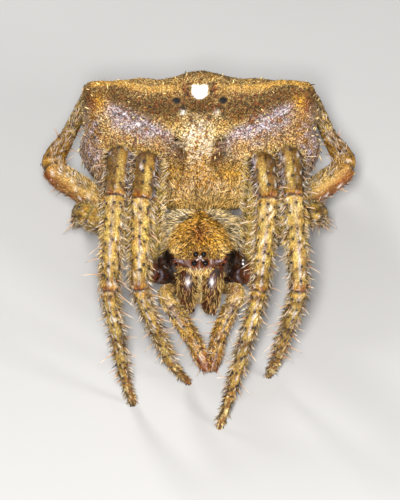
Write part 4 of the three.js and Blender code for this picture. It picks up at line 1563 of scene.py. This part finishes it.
class SPIDER_OT_spines(bpy.types.Operator):
    """Set rows of stout spines on legs and palps, each in a dark socket"""

    bl_idname = "spider.spines"
    bl_label = "Spines"

    def execute(self, context):
        settings = context.scene.spider_coat
        length = settings.spine_length / MM
        spine = spine_material()
        dark, light = (0.004, 0.003, 0.002), (0.035, 0.014, 0.006)
        socket, _ = horn("spine_socket", dark, light, 0.06, 3, 0.35, 0.2)
        for number, name in enumerate([*LEGS, *PALPS]):
            limb = LIMBS[name]
            size = 0.85 if name in PALPS else 1.0
            rows = limb.spines
            points, out = limb.surface(rows[:, 0], rows[:, 1], -0.05)
            look = Look(points, "cream")
            look.reach = rows[:, 2] * length * size
            look.lift[:] = 1.25
            look.lay = limb.at(limb.along, rows[:, 0])
            look.place = np.stack([rows[:, 1] / math.tau + 0.5, rows[:, 0] / limb.length], 1)
            look.place %= 1
            wide = settings.spine_width / MM * size
            long = np.flatnonzero(rows[:, 2])
            shafts = (look.pick(long), out[long], wide, 400 + number)
            form = {"sides": 5, "rings": 4, "lean": 0.3, "scatter": 0.3, "base": 0.03}
            dress(grow(f"spines_{name}", *shafts, **form), spine)
            look.reach[:] = 0.07 * size
            look.lift[:] = 1.45
            cups = (look, out, 0.21 * size, 500 + number)
            thing = grow(f"sockets_{name}", *cups, sides=8, lean=0, scatter=0.3)
            dress(thing, socket.material)
        return {"FINISHED"}


class SPIDER_OT_claws(bpy.types.Operator):
    """Give each foot a pair of small claws"""

    bl_idname = "spider.claws"
    bl_label = "Claws"

    def execute(self, context):
        paint, _ = horn("claw", (0.01, 0.006, 0.004), (0.06, 0.025, 0.01), 0.08, 2, 0.25, 0.15)
        sides = np.array([-0.35, 0.35])
        feet = [LIMBS[name] for name in LEGS]
        roots = [limb.surface(limb.length - 0.28 + 0 * sides, sides, -0.06) for limb in feet]
        look = Look(np.concatenate([points for points, _ in roots]), "ink")
        look.lay = np.repeat([limb.along[-1] for limb in feet], 2, 0)
        look.reach[:] = 0.26
        look.lift[:] = 0.75
        look.place = np.random.default_rng(7).uniform(0, 0.99, (len(look.points), 2))
        out = np.concatenate([outward for _, outward in roots])
        thing = grow("claws", look, out, 0.11, 600, sides=6, rings=4, lean=1.1, scatter=0.05)
        dress(thing, paint.material)
        return {"FINISHED"}


class SPIDER_OT_leg_coat(bpy.types.Operator):
    """Cover legs and palps with fine pale hairs"""

    bl_idname = "spider.leg_coat"
    bl_label = "Leg coat"

    def execute(self, context):
        settings = context.scene.spider_coat
        width = settings.hair_width / MM
        fur = hair_material("leg_hair", 0.6, 1.45, 0.5)
        front, back = settings.leg_hairs, int(settings.leg_hairs * 0.7)
        fields = (
            (LEGS[:4], front, 700, 720),
            (LEGS[4:], back, 704, 724),
            (PALPS, settings.palp_hairs, 740, 750),
        )
        for limbs, count, sowing, growing in fields:
            for number, name in enumerate(limbs):
                look, out = sow(name, count, sowing + number)
                thing = grow(f"coat_{name}", look, out, width * 0.7, growing + number)
                dress(thing, fur)
        return {"FINISHED"}


class SPIDER_OT_head_coat(bpy.types.Operator):
    """Cover head and jaws with golden and white hairs"""

    bl_idname = "spider.head_coat"
    bl_label = "Head coat"

    def execute(self, context):
        settings = context.scene.spider_coat
        width = settings.hair_width / MM
        fur = hair_material("head_hair", 0.3, 1.75, 0.3)
        look, out = sow("prosoma", settings.head_hairs, 800)
        x, y, z = look.points.T
        lip = ramp(FACE[2] - 0.25, FACE[2] - 0.4, z) * ramp(FACE[1] + 1.2, FACE[1] + 0.7, y)
        lip *= ramp(1.9, 1.6, np.abs(x - FACE[0]))
        look.cover("gold", lip * 0.7)
        look.cover("cream", lip * 0.3)
        dress(grow("coat_head", look, out, width * 0.82, 801, lean=0.6), fur)
        down = hair_material("jaw_hair", 0.8, 1.9, 0.8)
        for number, side in enumerate("lr"):
            look, out = sow(f"chelicera_{side}", settings.jaw_hairs, 810 + number)
            look.cover("gold", 0.4)
            look.cover("cream", 0.3)
            fine = (look, out, width * 0.42, 820 + number)
            thing = grow(f"coat_jaw_{side}", *fine, rings=3, lean=0.5, scatter=0.14)
            dress(thing, down)
        self.face(width)
        return {"FINISHED"}

    def face(self, width):
        """White hairs that make a Y between the eyes and run down between the jaws."""
        rng = np.random.default_rng(830)
        places = {name: EYE_PLACES[name] for name in EYES if "median" in name}
        middle = sum(places.values()) / 4
        roots, lays, reaches = [], [], []
        for name, place in places.items():
            low = "front" in name
            for share in rng.uniform(0.05, 0.6 if low else 0.45, 16 if low else 9):
                root = middle + (place - middle) * share
                roots.append(root + rng.normal(0, 0.02, 3) * (1, 0.2, 1))
                lays.append((place - middle) * (1 if low else -1) + (0, -0.05, -0.1))
                reaches.append(0.2)
        skin = BVHTree.FromObject(bpy.data.objects[SKIN], bpy.context.evaluated_depsgraph_get())
        for share in rng.uniform(0, 1, 130):
            side = rng.choice((-1, 1))
            roots.append(middle + (side * rng.uniform(0.02, 0.2), 0.0, -1.0 - 2.6 * share))
            lays.append((-side * 0.25, -0.3, -1.0))
            reaches.append(0.55)
        for share in rng.uniform(0, 1, 80):
            side = rng.choice((-1, 1))
            roots.append(middle + (side * (0.06 + 0.9 * share), 0, -0.65 - 0.35 * rng.random()))
            lays.append((-side * 0.6, -0.3, -0.9))
            reaches.append(0.36)
        points, out = [], []
        for root in roots:
            start = Vector(root + np.array((0, -3.0, 1.2))) * MM
            hit, normal, _, _ = skin.ray_cast(start, Vector((0, 3.0, -1.2)).normalized())
            points.append(np.array(hit) / MM if hit else root)
            out.append(np.array(normal) if hit else np.array((0, -1.0, 0)))
        look = Look(np.array(points), "snow")
        look.lay = np.array(lays)
        look.reach = np.array(reaches)
        look.lift[:] = 0.3
        look.place = np.clip((look.points[:, [0, 2]] - middle[[0, 2]]) / 8 + 0.5, 0, 1)
        look.cover("lilac", 0.5)
        look.cover("cream", ramp(middle[2] - 0.5, middle[2] - 0.6, look.points[:, 2]) * 0.9)
        fine = (look, np.array(out), width * 0.6, 831)
        thing = grow("coat_face", *fine, rings=3, lean=0.5, scatter=0.12)
        dress(thing, hair_material("white_hair", 0.8, 1.0, 0.1))


class SPIDER_OT_abdomen_coat(bpy.types.Operator):
    """Cover the abdomen with short thick hairs and scattered bristles"""

    bl_idname = "spider.abdomen_coat"
    bl_label = "Abdomen coat"

    def execute(self, context):
        settings = context.scene.spider_coat
        width = settings.hair_width / MM
        fur = hair_material("abdomen_hair", 0.35, 1.75, 0.35)

        def share_of(low, high):
            return lambda points: (abdomen_place(points)[1] - low) % 360 < (high - low) % 360

        fields = {"front": (330, 78), "back": (78, 205), "under": (205, 330)}
        for number, (name, (low, high)) in enumerate(fields.items()):
            count = settings.abdomen_hairs * (1 if name != "under" else 0.5)
            look, out = sow("abdomen", int(count), 900 + number, share_of(low, high))
            thing = grow(
                f"coat_abdomen_{name}", look, out, width, 910 + number, rings=1, scatter=0.5
            )
            dress(thing, fur)
        pale = hair_material("bristle", 0.75, 1.1, 0.6)
        look, out = sow("abdomen", 700, 920)
        look.cover("cream", 0.8)
        look.reach *= 2.3
        look.lift += 0.25
        form = {"sides": 4, "rings": 3, "lean": 0.7, "scatter": 0.8}
        thing = grow("bristles", look, out, width * 1.25, 921, **form)
        dress(thing, pale)
        look, out = sow("spinnerets", 500, 930)
        dress(grow("coat_tail", look, out, width, 931), fur)
        return {"FINISHED"}


class SPIDER_OT_stage(bpy.types.Operator):
    """Make the floor, the lights and the camera"""

    bl_idname = "spider.stage"
    bl_label = "Stage"
    SENSOR = 36  # millimetres

    def execute(self, context):
        settings = context.scene.spider_stage
        low, high = CAD_BOX
        size = (high - low).length
        shape = bmesh.new()
        bmesh.ops.create_grid(shape, x_segments=1, y_segments=1, size=size * 40)
        floor = from_bmesh("floor", shape)
        paint = Paint("floor")
        cloud = paint.noise(12, 2)
        base = tuple(settings.floor_colour)
        tone = paint.scaled(base, 0.97 + 0.05 * cloud)
        paint.set(Base_Color=tone, Roughness=0.7, Specular_IOR_Level=0.25)
        floor.data.materials.append(paint.material)
        aim_y = low.y + 0.3287 * (high.y - low.y)
        aim = Vector(((low.x + high.x) / 2 + 0.0001, aim_y, 0.4372 * high.z))
        lights = {
            "key": ((-0.03, -0.74, 0.78), 0.4, settings.key_power),
            "fill": ((0.75, -0.5, 0.4), 0.9, settings.key_power * 0.3),
            "rim": ((-0.5, 0.7, 0.7), 0.8, settings.key_power * 0.3),
        }
        for name, (way, wide, power) in lights.items():
            lamp = bpy.data.lights.new(name, "AREA")
            lamp.shape = "RECTANGLE"
            lamp.size = size * wide
            lamp.size_y = size * wide * 1.8
            lamp.energy = power
            thing = add_object(name, lamp)
            away = Vector(way).normalized() * size * 4
            thing.location = aim + away
            thing.rotation_euler = away.to_track_quat("Z", "Y").to_euler()
        world = bpy.data.worlds.new("studio")
        world.use_nodes = True
        sky = world.node_tree.nodes["Background"].inputs
        sky["Color"].default_value = (0.9, 0.89, 0.87, 1)
        sky["Strength"].default_value = 0.19
        context.scene.world = world
        context.scene.view_settings.view_transform = "Standard"
        lens = bpy.data.cameras.new("camera")
        lens.sensor_width = self.SENSOR
        lens.lens = self.SENSOR * settings.distance / settings.field
        lens.clip_start = 0.001
        lens.clip_end = 20
        camera = add_object("camera", lens)
        back = Vector((0, -math.cos(settings.elevation), math.sin(settings.elevation)))
        camera.location = aim + back * settings.distance
        camera.rotation_euler = back.to_track_quat("Z", "Y").to_euler()
        context.scene.camera = camera
        return {"FINISHED"}


class SPIDER_PT_panel(bpy.types.Panel):
    """Lists the steps that build the orb weaver"""

    bl_label = "Orb weaver"
    bl_idname = "SPIDER_PT_panel"
    bl_space_type = "VIEW_3D"
    bl_region_type = "UI"
    bl_category = "Orb weaver"

    def draw(self, context):
        for step in STEPS:
            self.layout.operator(step.bl_idname)
        for settings in GROUPS:
            group = getattr(context.scene, settings)
            for name in group.__annotations__:
                self.layout.prop(group, name)


STEPS = (
    SPIDER_OT_skin,
    SPIDER_OT_eyes,
    SPIDER_OT_fangs,
    SPIDER_OT_spines,
    SPIDER_OT_claws,
    SPIDER_OT_leg_coat,
    SPIDER_OT_head_coat,
    SPIDER_OT_abdomen_coat,
    SPIDER_OT_stage,
)
GROUPS = {
    "spider_skin": SpiderSkinSettings,
    "spider_coat": SpiderCoatSettings,
    "spider_stage": SpiderStageSettings,
}


def register():
    for item in (*GROUPS.values(), *STEPS, SPIDER_PT_panel):
        bpy.utils.register_class(item)
    for name, group in GROUPS.items():
        setattr(bpy.types.Scene, name, PointerProperty(type=group))


def unregister():
    for name in GROUPS:
        delattr(bpy.types.Scene, name)
    for item in (SPIDER_PT_panel, *STEPS[::-1], *GROUPS.values()):
        bpy.utils.unregister_class(item)


def main():
    register()
    for step in STEPS:
        family, name = step.bl_idname.split(".")
        getattr(getattr(bpy.ops, family), name)()


if __name__ == "__main__":
    main()
